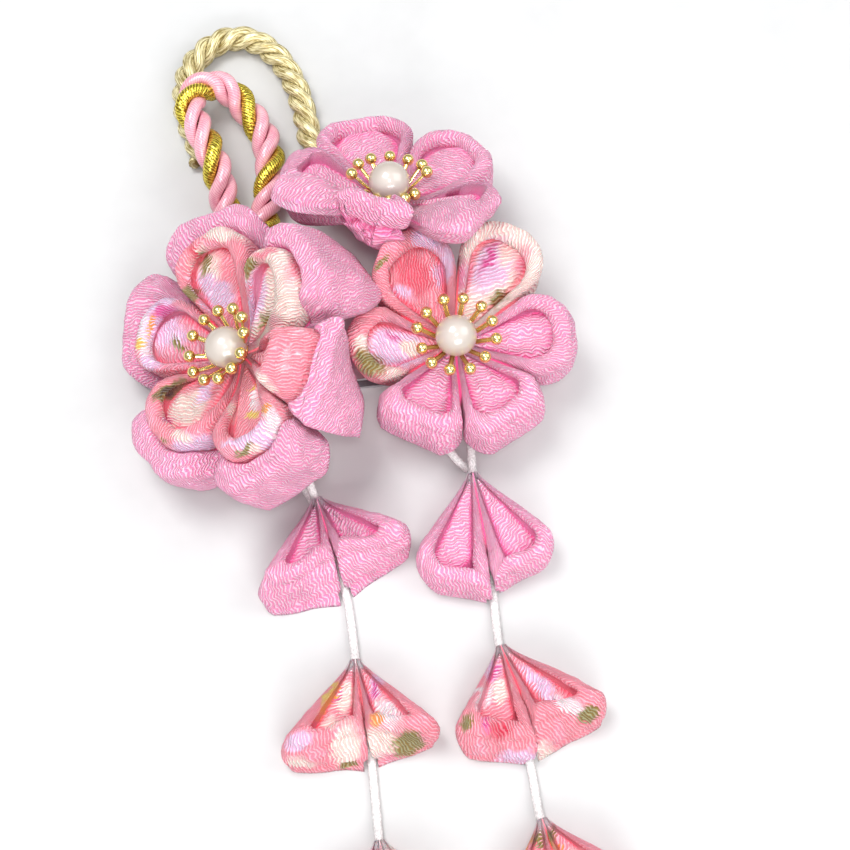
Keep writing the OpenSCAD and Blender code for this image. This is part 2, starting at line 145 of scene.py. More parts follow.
class Nodes:
    """Short calls that add and join the shader nodes of a material or a world."""

    def __init__(self, owner):
        owner.use_nodes = True
        self.owner, self.tree = owner, owner.node_tree
        self.tree.nodes.clear()

    def add(self, kind, inputs=(), **settings):
        node = self.tree.nodes.new("ShaderNode" + kind)
        for key, value in settings.items():
            setattr(node, key, value)
        for key, value in dict(inputs).items():
            if hasattr(value, "is_output"):
                self.tree.links.new(value, node.inputs[key])
            else:
                node.inputs[key].default_value = value
        return node

    def math(self, op, *values):
        return self.add("Math", enumerate(values), operation=op).outputs[0]

    def vec(self, op, *values):
        return self.add("VectorMath", enumerate(values), operation=op).outputs["Vector"]

    def scaled(self, vector, factor):
        return self.add("VectorMath", {0: vector, "Scale": factor}, operation="SCALE").outputs["Vector"]

    def noise(self, vector, scale, detail, rough, output=0):
        inputs = {"Vector": vector, "Scale": scale, "Detail": detail, "Roughness": rough}
        return self.add("TexNoise", inputs).outputs[output]

    def remap(self, value, a, b, c, d, soft=False):
        inputs = zip(("Value", "From Min", "From Max", "To Min", "To Max"), (value, a, b, c, d))
        return self.add("MapRange", inputs, interpolation_type="SMOOTHSTEP" if soft else "LINEAR").outputs["Result"]

    def mix(self, share, a, b):
        """A mix of two colours, whose sockets come after those for numbers and vectors."""
        return self.add("Mix", {"Factor": share, 6: a, 7: b}, data_type="RGBA").outputs[2]

    def bump(self, height, distance, strength):
        return self.add("Bump", {"Height": height, "Distance": distance, "Strength": strength}).outputs["Normal"]

    def attribute(self, name):
        """The three numbers of a mesh's point attribute."""
        return self.add("Attribute", attribute_name=name, attribute_type="GEOMETRY").outputs["Vector"]

    def parts(self, vector):
        return self.add("SeparateXYZ", {0: vector}).outputs

    def place(self):
        return self.add("TexCoord").outputs["Object"]

    def shade(self, **inputs):
        shader = self.add("BsdfPrincipled", {key.replace("_", " "): value for key, value in inputs.items()})
        self.add("OutputMaterial", {"Surface": shader.outputs[0]})
        return self.owner


def rgba(colour):
    return (*colour, 1.0)


def srgb(r, g, b):
    """Linear colour of an 8-bit one."""
    return tuple(((c / 255 + 0.055) / 1.055) ** 2.4 if c > 10 else c / 255 / 12.92 for c in (r, g, b))


# colours of the cloth and its print; "dark" is painted shade in a crease, laid over the olive print
TINTS = {
    "plain": srgb(246, 168, 199), "coral": srgb(248, 148, 164), "rose": srgb(246, 158, 178),
    "cream": srgb(249, 225, 214), "white": srgb(246, 232, 236), "red": srgb(214, 52, 82),
    "magenta": srgb(222, 84, 160), "lavender": srgb(236, 200, 232), "olive": srgb(140, 128, 58),
    "dark": srgb(72, 56, 26), "deep": srgb(232, 92, 114), "yellow": srgb(240, 204, 92),
    "orange": srgb(240, 160, 84), "pink": srgb(240, 140, 176), "pale": srgb(248, 186, 196),
    "glue": srgb(252, 230, 236),
}
# the white of the painted highlight on the crepe's ridges
PAINTED_RIDGE_HIGHLIGHT = (0.96, 0.90, 0.94)
# mm from ridge to ridge, how wide the zigzag swings, the valleys' painted shade tint, the ridges' painted highlight
# tint and share of white, the tint of the painted shade in creases
PLAIN_CREPE = (0.68, 0.34, (0.95, 0.70, 0.84), (1.0, 1.0, 1.0), 0.36, (1.0, 0.36, 0.66))
PRINTED_CREPE = (0.66, 0.16, (0.97, 0.78, 0.82), (1.05, 1.18, 1.14), 0.16, (0.94, 0.34, 0.44))


def print_and_shade_spots(n, body, place, ridge, spots):
    """Adds soft spots of dye, and of painted shade for the colour "dark". A spot is its centre, turn and three half
    axes in metres, its colour and softness.
    """
    shift = n.scaled(n.vec("SUBTRACT", n.noise(place, 420, 2.0, 0.5, "Color"), (0.5, 0.5, 0.5)), 0.0036)
    streak = n.scaled((0.0007, 0.0005, 0.0), ridge)
    where = n.vec("ADD", n.vec("ADD", place, shift), streak)
    for centre, turn, size, colour, soft in spots:
        inputs = {"Vector": where, "Location": centre, "Rotation": turn, "Scale": size}
        spot = n.add("Mapping", inputs, vector_type="TEXTURE").outputs[0]
        far = n.add("VectorMath", {0: spot}, operation="LENGTH").outputs["Value"]
        body = n.mix(n.remap(far, 1 + soft, 1 - soft, 0.0, 1.0, True), body, rgba(TINTS[colour]))
    return body


def crepe_material(name, base, spots, own_wave):
    """Crepe: thin light ridges in a zigzag over darker valleys, a painted highlight on the ridges and painted shade in
    the valleys.

    The "cloth" attribute holds the cloth's own coordinates in mm and how much painted shade a crease gets. Above 1 it
    also tells how strongly the seam between two petals glows, a painted glow in place of light through the cloth."""
    wave, swing, valley_shade_tint, ridge_highlight_tint, white, crease_shade_tint = PLAIN_CREPE if base == "plain" else PRINTED_CREPE
    n = Nodes(bpy.data.materials.new(name))
    cloth = n.attribute("cloth")
    x, y, dark = n.parts(cloth)
    drift = n.noise(cloth, 0.30, 1.0, 0.5)
    jog = n.noise(cloth, 0.9, 2.0, 0.6)
    thick = n.noise(cloth, 1.7, 2.0, 0.6)
    zigzag = n.math("PINGPONG", n.math("MULTIPLY_ADD", jog, 2.2, y), 1.2)
    u = n.math("MULTIPLY_ADD", zigzag, swing, x)
    u = n.math("MULTIPLY_ADD", drift, 2.0, u)
    u = n.math("MULTIPLY_ADD", jog, 0.6, u)
    ripple = n.math("SINE", n.math("MULTIPLY", u, 2 * pi / (own_wave or wave)))
    height = n.math("ADD", ripple, n.math("MULTIPLY", n.math("SUBTRACT", thick, 0.5), 2.2))
    ridge = n.remap(height, -0.45, 0.95, 0.0, 1.0, True)
    place = n.place()
    body = n.vec("MULTIPLY", TINTS[base], (1.0, 1.0, 1.0))
    if spots:
        body = print_and_shade_spots(n, body, place, ridge, spots)
    # painted highlight on the ridges and painted shade in the valleys
    light = n.mix(white, n.vec("MULTIPLY", body, ridge_highlight_tint), rgba(PAINTED_RIDGE_HIGHLIGHT))
    colour = n.mix(ridge, n.vec("MULTIPLY", body, valley_shade_tint), light)
    colour = n.scaled(colour, n.remap(n.noise(place, 150, 2.0, 0.5), 0.3, 0.7, 0.93, 1.07))
    # painted shade for creases, pockets and seams, in a deeper pink; the painted glow has this colour too
    crease = n.vec("MULTIPLY", colour, crease_shade_tint)
    relief = n.math("MULTIPLY_ADD", n.noise(cloth, 9.0, 2.0, 0.6), 0.5, height)
    # painted glow, as if light came through the cloth: a little wherever there is painted shade, more where a seam's
    # value is over 1
    through = n.math("MAXIMUM", n.math("SUBTRACT", dark, 1.0), 0.0)
    painted_glow = n.math("MULTIPLY_ADD", through, 1.2, n.math("MULTIPLY", dark, 0.30))
    return n.shade(Base_Color=n.mix(dark, colour, crease), Roughness=0.82, Normal=n.bump(relief, 0.00020, 1.0),
                   Specular_IOR_Level=0.25, Sheen_Weight=0.12, Subsurface_Weight=0.3,
                   Subsurface_Radius=(1.0, 0.45, 0.55), Subsurface_Scale=0.0014,
                   Emission_Color=crease, Emission_Strength=painted_glow)


def plain_material(name, colour, rough, metal, grain_scale, bump_depth):
    n = Nodes(bpy.data.materials.new(name))
    grain = n.noise(n.place(), grain_scale, 3.0, 0.6)
    tone = n.mix(grain, rgba(c * 0.9 for c in colour), rgba(min(1, c * 1.08) for c in colour))
    return n.shade(Base_Color=tone, Roughness=rough, Metallic=metal, Normal=n.bump(grain, bump_depth, 0.6))


def strand_material(name, dull, bright, inside, scale, rough, metal, bump, gloss=0.5, coat=0.0, wrap=0.0):
    """Strands: fine threads that follow the "strand" attribute (round it, along it, how far inside). Inside is painted
    shade where a strand faces the others. A wrap is the distance between the turns of a thread wound round the strand."""
    n = Nodes(bpy.data.materials.new(name))
    around, along, deep = n.parts(n.attribute("strand"))
    place = n.add("CombineXYZ", {0: n.math("MULTIPLY", around, scale[0]), 1: n.math("MULTIPLY", along, scale[1])})
    thread = n.noise(place.outputs[0], 1.0, 3.0, 0.6)
    if wrap:
        turn = n.math("MULTIPLY_ADD", around, 0.5, along)
        thread = n.math("MULTIPLY_ADD", n.math("SINE", n.math("MULTIPLY", turn, 2 * pi / wrap)), 0.16, thread)
    colour = n.mix(n.remap(thread, 0.36, 0.64, 0.0, 1.0, True), rgba(dull), rgba(bright))
    # the sides that face the other strands get painted shade
    return n.shade(Base_Color=n.mix(deep, colour, rgba(inside)), Roughness=rough, Metallic=metal,
                   Normal=n.bump(thread, bump, 0.8), Specular_IOR_Level=gloss, Coat_Weight=coat)


def pearl_material():
    n = Nodes(bpy.data.materials.new("pearl"))
    body = n.mix(n.noise(n.place(), 260, 2.0, 0.5), (0.49, 0.43, 0.38, 1.0), (0.57, 0.52, 0.475, 1.0))
    # painted reflection of the surroundings: the pearl turns darker bronze towards its rim
    edge = n.add("LayerWeight", {"Blend": 0.45}).outputs["Facing"]
    return n.shade(Base_Color=n.mix(edge, body, (0.42, 0.33, 0.26, 1.0)), Roughness=0.26, Specular_IOR_Level=0.7,
                   Coat_Weight=0.8, Coat_Roughness=0.08)


pearl_look = pearl_material()
gold_look = plain_material("gold", (0.96, 0.76, 0.30), 0.12, 1.0, 1400, 0.000004)
# each strand look's third colour is painted shade where strands face each other
pale_gold_look = strand_material("gold_yarn", srgb(150, 130, 68), srgb(254, 244, 196), srgb(118, 92, 42),
                                 (5.0, 0.45), 0.36, 0.40, 0.00018)
satin_look = strand_material("satin", srgb(214, 138, 156), srgb(236, 180, 188), srgb(196, 64, 104),
                             (1.2, 0.5), 0.25, 0.0, 0.00001, 0.7, 0.30, wrap=0.36)
lame_look = strand_material("lame", srgb(140, 112, 24), srgb(250, 232, 96), srgb(196, 110, 30),
                            (2.2, 3.2), 0.26, 0.8, 0.00007, wrap=0.38)
cord_look = strand_material("white_cord", srgb(196, 194, 192), srgb(232, 230, 228), srgb(160, 158, 156),
                            (3.0, 2.0), 0.75, 0.0, 0.00005)
steel_look = plain_material("steel", (0.62, 0.62, 0.64), 0.35, 1.0, 900, 0.00002)

# ---- routes and tubes

GOLD_ROUTE = [
    (-1.4, 10.8, 7.1), (-3.8, 15.6, 4.2), (-5.8, 20.5, 2.9), (-7, 24.5, 2.8), (-8.8, 29, 2.7), (-10.1, 35, 2.7),
    (-12.2, 41.6, 2.7), (-15.8, 47.7, 2.7), (-20.8, 51.6, 2.7), (-26.2, 52.1, 2.7),
    (-31, 49.3, 2.7), (-34.2, 44.3, 2.7), (-35, 38.5, 2.7), (-34, 32.8, 2.7),
    (-32, 27.5, 2.7), (-31, 23.5, 2.7),
]
SATIN_ROUTE = [
    (-24.4, -1, 5.4), (-24.5, 4, 4.3), (-25, 9.5, 4.2), (-25.9, 14.5, 5.6), (-27.2, 19.5, 8.2),
    (-29.4, 24.6, 8.9), (-31.8, 29.6, 8.9), (-33, 33.4, 8.9), (-31.6, 37, 8.6),
    (-28.2, 38.6, 7.6), (-24.6, 37.2, 6.2), (-21.8, 34.2, 4.8), (-19.2, 31, 4),
    (-17.5, 27, 3.6), (-16.7, 21.8, 3.5), (-16.8, 16.4, 3.5), (-17.4, 11, 3.5),
    (-17.8, 6, 4.1), (-17.6, 1, 6.4), (-17.5, -4, 9.2),
]
LEFT_CORD_ROUTE = [
    (-6.4, -49, 2.8), (-8.4, -43.6, 5.2), (-10.8, -36.6, 7.2), (-12, -29.6, 7.4),
    (-12.1, -25.6, 7.4), (-13.2, -22.9, 7.4), (-15.7, -21.9, 7.4), (-18.2, -22.9, 7.4),
    (-19.3, -25.6, 7.4), (-18, -31.2, 7.4), (-14.2, -37.6, 6.6), (-10.6, -43.4, 3.6),
    (-7.4, -48.4, 1.2), (-4.6, -53.9, 0.9), (-2, -61.6, 0.9), (0.2, -69.4, 0.9),
    (1.2, -76, 0.9), (2, -82, 0.9), (3.4, -90.6, 0.9), (4.9, -99.4, 0.9),
    (5.8, -107.6, 0.9), (6.5, -114.4, 0.9), (7.8, -121.6, 0.9), (9.2, -128.6, 0.9),
]
RIGHT_CORD_ROUTE = [
    (23.4, -42.6, 1), (20.6, -40.4, 2.8), (17.8, -36.6, 5.6), (16.6, -31, 6.6),
    (16.6, -25, 6.7), (17, -20.9, 6.7), (18.2, -18.5, 6.7), (20.6, -17.4, 6.7),
    (23, -18.5, 6.7), (24.2, -20.9, 6.7), (24.4, -26, 6.7), (24.2, -32, 6.2),
    (24, -38, 3.6), (24.2, -42.4, 2.6), (24.9, -47.6, 1.1), (26, -54.6, 0.9),
    (27.4, -62, 0.9), (28.2, -69.4, 0.9), (28.8, -75.6, 0.9), (29.7, -80.8, 0.9),
    (31.6, -88.2, 0.9), (33.6, -96, 0.9), (35, -102.6, 0.9), (35.9, -108.6, 0.9),
    (37.2, -114.4, 0.9), (39.2, -121.4, 0.9), (41, -127.6, 0.9),
]


def curve(route, steps):
    """Catmull-Rom curve through the route, as in the CAD source."""
    r = [np.array(p, dtype=float) for p in route]
    out = []
    for i in range(len(r) - 1):
        a, b, c, d = r[max(0, i - 1)], r[i], r[i + 1], r[min(len(r) - 1, i + 2)]
        for k in range(steps):
            t = k / steps
            out.append(0.5 * (2 * b + (c - a) * t + (2 * a - 5 * b + 4 * c - d) * t * t
                              + (3 * b - a - 3 * c + d) * t ** 3))
    out.append(r[-1])
    return np.array(out)


def even(points, gap):
    """The same line with points that distance apart."""
    run = np.concatenate([[0], np.cumsum(np.linalg.norm(np.diff(points, axis=0), axis=1))])
    count = max(2, int(round(run[-1] / gap)) + 1)
    want = np.linspace(0, run[-1], count)
    return np.stack([np.interp(want, run, points[:, k]) for k in range(3)], -1), want


def frames(c):
    t = unit(np.gradient(c, axis=0))
    u = unit(np.cross([0, 0, 1], t))
    return t, u, np.cross(t, u)


def helix(c, run, pitch, radius, start, hand):
    t, u, v = frames(c)
    a = np.radians(start) + hand * 2 * pi * run / pitch
    return c + radius * (np.cos(a)[:, None] * u + np.sin(a)[:, None] * v)


def tube(name, c, radius, sides, material, run, middle=None):
    """A closed tube; radius(angle, run) gives the distance of its skin. The attribute says where a point is
    round and along the tube and, beside a rope's middle line, how far it faces inwards."""
    t, u, v = frames(c)
    a = 2 * pi * np.arange(sides) / sides
    out = np.cos(a)[None, :, None] * u[:, None] + np.sin(a)[None, :, None] * v[:, None]
    r = radius(a[None, :], run[:, None]) * np.ones((len(c), sides))
    rings = c[:, None] + r[..., None] * out
    rings[..., 2] = np.maximum(rings[..., 2], LOWEST)
    inside = np.zeros((len(c), sides))
    if middle is not None:
        # how far a point faces the rope's middle, which the strand looks turn into painted shade
        away = unit(c - middle)
        inside = smooth((-np.sum(out * away[:, None], -1) - 0.05) / 0.75)
    mark = np.stack([a[None, :] * CORD_D / 2 + 0 * r, run[:, None] + 0 * r, inside], -1).reshape(-1, 3)
    verts = np.concatenate([rings.reshape(-1, 3), c[:1], c[-1:]])
    faces = ring_faces(len(c), sides)
    first, last = len(verts) - 2, len(verts) - 1
    base = (len(c) - 1) * sides
    faces += [(first, (k + 1) % sides, k) for k in range(sides)]
    faces += [(last, base + k, base + (k + 1) % sides) for k in range(sides)]
    obj = make_mesh(name, verts, faces, material)
    point_vectors(obj, "strand", np.concatenate([mark, mark[:1], mark[-1:]]))
    return obj


CORD_D = 1.7
# no tube goes lower than this above the surface that the object lies on
LOWEST = 0.02


def braid(a, s):
    """Skin of a braided cord: two sets of strands that pass over and under each other."""
    one = np.cos(4 * a + 2 * pi * s / 2.6)
    two = np.cos(4 * a - 2 * pi * s / 2.6)
    over = np.sin(2 * pi * s / 1.3 + 4 * a) * 0.25
    return CORD_D / 2 * (0.90 + 0.10 * np.maximum(one + over, two - over) ** 2)


for side, route in (("left", LEFT_CORD_ROUTE), ("right", RIGHT_CORD_ROUTE)):
    line, run = even(curve(route, 8), 0.17)
    piece = tube(side + "_cord_braid", line, braid, 24, cord_look, run)
    stand_for(piece, side + "_cord")

GOLD_PITCH, GOLD_HELIX = 12.6, 1.45
SATIN_PITCH, SATIN_HELIX = 15.0, 1.82
GOLD_PLIES = 9
YARN_D, CORD_SKIN_D, LAME_D = 2.36, 2.70, 3.0


def yarn(a, s):
    return YARN_D / 2 * (1.02 - 0.13 * (1 - np.abs(np.cos(GOLD_PLIES / 2 * (a - 2 * pi * s / 16)))))


def satin(a, s):
    return CORD_SKIN_D / 2 * (0.99 + 0.006 * np.sin(2 * pi * s / 1.1 + a) + 0.02 * np.sin(2 * a + s / 3))


def wrapped(a, s):
    return LAME_D / 2 * (0.97 + 0.025 * np.sin(2 * pi * s / 0.62 + 2 * a) + 0.01 * np.sin(7.3 * s + 2 * a))


gold_line, gold_run = even(curve(GOLD_ROUTE, 8), 0.42)
for i in range(3):
    c = helix(gold_line, gold_run, GOLD_PITCH, GOLD_HELIX, 120 * i, -1)
    piece = tube("gold_yarn_%d" % (i + 1), c, yarn, 45, pale_gold_look, gold_run, gold_line)
    stand_for(piece, "gold_rope_strand_%d" % (i + 1))
for i, (name, node, look, slot, skin, gap, sides) in enumerate([
    ("satin_cord_1", "satin_rope_strand_1", satin_look, "satin", satin, 0.28, 24),
    ("satin_cord_2", "satin_rope_strand_2", satin_look, "satin", satin, 0.28, 24),
    ("lame_cord", "lame_rope_strand", lame_look, "lame", wrapped, 0.12, 22),
]):
    line, run = even(curve(SATIN_ROUTE, 8), gap)
    c = helix(line, run, SATIN_PITCH, SATIN_HELIX, 120 * i, 1)
    stand_for(tube(name, c, skin, sides, look, run, line), node)

# ---- flowers

# middle of the base, the way it leans, how far, the heart's height and how much more it leans
FLOWERS = {
    "left": ((-16.5, -25.8, 14.0), 179, 32, 7.1, 9),
    "top": ((8.3, 3.9, 15.5), 92, 33, 5.0, 8),
    "right": ((20.6, -21.2, 10.6), 290, 6, 5.0, 0),
}
# the numbers of a petal in the CAD source, angles in degrees and lengths in mm
Petal = namedtuple("Petal", "turn half rim_r rim_z foot_r foot_z square slant skew foot_skew foot_turn foot_widen "
                   "hug_r corner", defaults=(0,) * 7)
LEFT_INNER = [
    (103.3, 27.2, 25.3, 13, 24.6, 0, 0.06),
    (159.5, 28, 23, 12.5, 22.4, 0, 0.06),
    (224, 35.5, 21.7, 12.8, 21.4, 0, 0.08),
    (286, 25.5, 23, 12.6, 22.8, 0, 0.08),
    (339, 27.4, 13.6, 12.6, 19.1, 0, 0.34, 0, 0, -0.02),
    (42.4, 32.8, 20, 12.8, 19.6, 0, 0.10, 0, 0.12, 0.12),
]
LEFT_OUTER = [
    (103.3, 27.7, 31.4, 10.2, 28.6, 0, 0.18, 0, 0.05, 0.05, 0, 0, 26.2),
    (159.5, 28.5, 29.2, 10, 25.6, 0, 0.20, 0, -0.11, -0.11, 0, 0, 25.1),
    (224, 36, 27.5, 9.8, 27.2, 0, 0.12, 0, 0, 0, 0, 0, 23.3),
    (285, 25, 28.2, 10, 27.4, -3, 0.24, 0, 0, -0.04, 0, 0, 24.4),
    (338.5, 28.5, 22, 8.2, 18.5, -8, 0.60, 0, -0.02, -0.22, 4, -3, 21.2),
    (42, 32.2, 24.8, 11.4, 26.6, -8, 0.30, 0, 0.04, 0.06, 7, -8, 22.3),
]
TOP_PLAIN = [
    (105.7, 28.7, 26.4, 9.4, 23, 0, 0.18),
    (38.5, 38.5, 22.9, 10, 22, 0, 0.12, 0, 0.07, 0.05),
    (327.5, 30.5, 22, 9.8, 13.3, 4, 0.25, 0, 0, 0.03, 11, -11),
    (248.5, 46.5, 10.4, 10.8, 8.1, -1, 0.85, 0, 0.08, 0.06, -12, -24),
    (168.2, 33.2, 22.2, 10, 20, 1, 0.25, 0, 0, 0, -8, -8),
]
RIGHT_MIXED = [
    (5, 30, 22.4, 9, 23.8, 0, 0.08),
    (61.5, 26.5, 25.6, 9.2, 25.6, 0, 0.05),
    (121, 33, 23.6, 9.4, 22.6, 0, 0.03, 0, -0.03, -0.03),
    (185, 31, 20.5, 9, 18.7, 0, 0.06, 0, -0.03, -0.03),
    (245.7, 29.7, 18.6, 8.8, 20.5, 0, 0.30),
    (305.2, 29.8, 19.4, 8.8, 21.5, 0, 0.25),
]
LEFT_DROPS = [((-6.1, -49.2, 0), 287), ((1.8, -81.1, 0), 279), ((6.6, -115, 0), 281)]
RIGHT_DROPS = [((24.2, -43.9, 0), 279), ((29.2, -78.4, 0), 284.5), ((36.4, -111, 0), 286)]
LEFT_DROP_PETALS = [
    ((-23.7, 23.3, 16.6, 8.6, 22, 0, 0.28, -0.8, -0.26, -0.10, 0, 0, 0, 0.9),
     (26.8, 26.4, 16, 8.6, 19.8, 0, 0.28, 0.8, 0.24, 0.05, 0, 0, 0, -0.9)),
    ((-24, 23.6, 17.4, 8.8, 21.6, 0, 0.32, -1, -0.22, -0.10, 0, 0, 0, 0.9),
     (20.8, 20.4, 17.4, 8.8, 20.6, 0, 0.32, 1, 0.20, 0.05, 0, 0, 0, -0.9)),
    ((-23, 22.6, 17.5, 8.6, 21.6, 0, 0.25, -1, -0.20, -0.08, 0, 0, 0, 0.9),
     (23, 22.6, 17.5, 8.6, 21.2, 0, 0.25, 1, 0.20, 0.08, 0, 0, 0, -0.9)),
]
RIGHT_DROP_PETALS = [
    ((-21.3, 20.9, 22.3, 8, 24.4, 0, 0.05, -1, -0.03, 0, 0, 0, 0, 0.5),
     (20.7, 20.3, 21.6, 8, 23, 0, 0.08, 1, 0.03, 0, 0, 0, 0, -0.5)),
    ((-18.5, 24.1, 18.8, 8.8, 21.6, 0, 0.18, -1, 0, 0, -3, -3, 0, 0.8),
     (26.9, 20.9, 19, 8.8, 22.6, 0, 0.30, 1, 0.18, 0.06, -3, 2.8, 0, -0.8)),
    ((-22, 21.6, 18.5, 8.6, 21.8, 0, 0.22, -1, -0.15, -0.06, 0, 0, 0, 0.9),
     (22, 21.6, 19, 8.6, 22.2, 0, 0.22, 1, 0.15, 0.06, 0, 0, 0, -0.9)),
]
# heights of the base and the tip, where along a petal its rim rises, how wide the rim's inner edge is, and the
# channel for the cord
Make = namedtuple("Make", "base_z tip_z rise_from rise_to rim_in channel")
MAKES = {
    "single": Make(0, 4.5, 0.10, 0.85, 0.74, 0),
    "inner": Make(5, 6.3, 0.15, 0.85, 0.74, 0),
    "outer": Make(0, 4.4, 0.66, 0.90, 0.95, 0),
    "drop": Make(0, 4.3, 0.05, 0.90, 0.72, 1.1),
}
ROLL = 1.8
GAP, DROP_GAP = 0.15, 0.05
CHANNEL_TOP = 2.7
END_BULGE = 0.94
SIDE_COLS, ARC_COLS = 34, 76
COLS = 2 * SIDE_COLS + ARC_COLS + 1
# 0 round a petal's end, 1 along its straight sides, at once or little by little
FROM_ARC = np.maximum(0, np.maximum(SIDE_COLS - np.arange(COLS), np.arange(COLS) - SIDE_COLS - ARC_COLS))
# AT_SEAM is where a seam between two petals gets its painted glow
AT_SEAM = smooth(8 * FROM_ARC / SIDE_COLS)
FROM_ARC = smooth(3 * FROM_ARC / SIDE_COLS)
# what a petal's rings belong to, and how many there are
UNDER, WALL, RIM, POCKET = range(4)
UNDER_RINGS = ((0.15, 4.0), (0.6, 2.0), (0.9, 0.6))
WALL_STEPS, RIM_STEPS, LEAN_STEPS, POCKET_STEPS = 16, 22, 8, 24
FOOT_ROW = len(UNDER_RINGS)
EDGE_ROW = FOOT_ROW + WALL_STEPS
# the angle at which the cloth starts to roll over the rim, and its width there
ROLL_FROM = -78
RIM_WIDE = 0.99
# painted glow along the seam between two petals, in place of light through the cloth, over 1
PAINTED_SEAM_GLOW, PAINTED_DROP_SEAM_GLOW = 1.15, 1.35
# the height at which cloth that dives between two petals closes
CLOSE_Z = 4.2
# a petal's folds and dye where LOOKS says nothing else
FOLDS = dict(base="plain", spots="", glue=[], wave=None, tilt=22, tongue_tilt=30, hem=0, seam=0.5, roll_to=146,
             end_roll=1.0, back=0.5, aside=0, rim_out=0, pocket_in=1.35, tongue_end=0.86, depth_end=2.5, crown=1.3,
             blunt=0.0, hug_clear=0.75)
DROP_FOLDS = dict(FOLDS, hem=0.22, seam=0.85, roll_to=132, end_roll=1.1, back=0.05, rim_in=0.66, tongue_end=0.9,
                  depth_end=1.7, crown=0.8)
BLUNT = 0.8


def turn_z(deg):
    return Matrix.Rotation(radians(deg), 4, "Z")


def flower_place(name):
    at, to, lean, _, _ = FLOWERS[name]
    return Matrix.Translation(at) @ turn_z(to) @ Matrix.Rotation(radians(lean), 4, "Y") @ turn_z(-to)


def heart_place(name):
    _, to, _, z, more = FLOWERS[name]
    return flower_place(name) @ Matrix.Translation((0, 0, z)) @ turn_z(to) @ \
        Matrix.Rotation(radians(more), 4, "Y") @ turn_z(-to)


def outline(half, reach, tip, square, skew, one_corner=0):
    """The CAD source's outline of a petal, from the tip round the end and back, with more points."""
    h = radians(half)
    r = (reach - tip) * sin(h) / (1 + sin(h))
    c = reach - r
    t = np.linspace(-1, 1, ARC_COLS + 1)
    a = (pi / 2 + h) * t
    corner = (1 / np.maximum(np.cos(a), np.cos(np.abs(a) - pi / 2 - h))) ** END_BULGE
    bite = square + np.maximum(0, one_corner * np.sign(t))
    d = r * np.minimum(corner, 1 + 1.3 * bite * np.sin(pi * np.abs(t)))
    arc = (1 + skew * np.sin(a))[:, None] * np.stack([c + d * np.cos(a), d * np.sin(a)], -1)
    s = (np.arange(SIDE_COLS) / SIDE_COLS)[:, None]
    start = np.array([[tip, 0.0]])
    return np.concatenate([lerp(start, arc[:1], s), arc, lerp(start, arc[-1:], s)[::-1]])[:COLS]


def turned(q, angle):
    """Flat points turned by an angle in radians."""
    return np.stack([q[:, 0] * cos(angle) - q[:, 1] * sin(angle),
                     q[:, 0] * sin(angle) + q[:, 1] * cos(angle)], -1)


def row(xy, z, kind, dark):
    """One ring of a petal: its points, what it is and how much painted shade it gets."""
    return np.column_stack([xy, np.broadcast_to(z, len(xy))]), kind, np.broadcast_to(dark, len(xy))


def sleeve(start, p, look, sin_half):
    """Cloth that goes on inwards to the inner petal's wall, dives beside it and closes under it."""
    inner = look["inner"]
    level = float(start[len(start) // 2, 2]) - 0.3
    inner_base = MAKES["inner"].base_z
    up = np.clip((level - inner_base) / (inner.rim_z - inner_base), 0, 1)
    reach = lerp(inner.foot_r, inner.rim_r, up) + look["hug_clear"]
    q = outline(inner.half - 0.3, reach, GAP / sin_half + 1.0, inner.square, inner.skew)
    start, start_z = start[:, :2], start[:, 2]
    target = turned(q, radians(inner.turn - p.turn))
    target = lerp(start, target, smooth(np.linalg.norm(start - target, axis=1) / 0.8)[:, None])
    # the cloth gets painted shade as it dives beside the inner petal, full where it closes under it
    rows = []
    for f in np.arange(1, 13) / 12:
        z = start_z + 0.35 * sin(pi * min(1, f * 1.2)) - 0.9 * smooth((f - 0.8) / 0.2)
        rows.append(row(lerp(start, target, f), z, RIM, 0.55 * smooth((f - 0.85) / 0.15)))
    low, low_z = rows[-1][0][:, :2], rows[-1][0][:, 2]
    for k in range(1, 5):
        rows.append(row(low * (1 - 0.004 * k), np.maximum(low_z - 1.1 * k, CLOSE_Z), POCKET, min(1.0, 0.6 + 0.2 * k)))
    for k in range(1, 5):
        f = 1 - k / 5
        rows.append(row(low * f + np.array([[2.5, 0.0]]) * (1 - f), CLOSE_Z, POCKET, 1.0))
    return rows


def pocket(p, make, look, sin_half, wide, swing):
    """The pocket, and the tongue of cloth that comes up in it with a slit on each side."""
    inner_r = p.rim_r - look["pocket_in"] * ROLL
    floor_z = p.rim_z - look["depth_end"]
    rows = []
    for k in range(POCKET_STEPS + 1):
        f = 1 - k / POCKET_STEPS
        tip = GAP / sin_half + 1.5 + (1 - f) * 1.0
        q = outline(max(0.4, p.half * wide * f), inner_r * lerp(look["tongue_end"], 1, f), tip, p.square * 0.5, p.skew)
        s = np.clip((q[:, 0] - tip) / (inner_r - tip), 0, 1)
        top = lerp(make.tip_z - 0.15, floor_z, s ** 0.9)
        low = lerp(make.tip_z - 0.5, floor_z - look["crown"], s ** 0.7)
        # painted shade in the slits beside the tongue and at the pocket's deep end
        dark = smooth((f - 0.74) / 0.26) * 0.85 * smooth(s / 0.35) + 0.45 * smooth((s - 0.80) / 0.20)
        rows.append(row(turned(q, swing), lerp(low, top, 1 - f ** 3.6), POCKET, np.clip(dark, 0, 1)))
    return rows


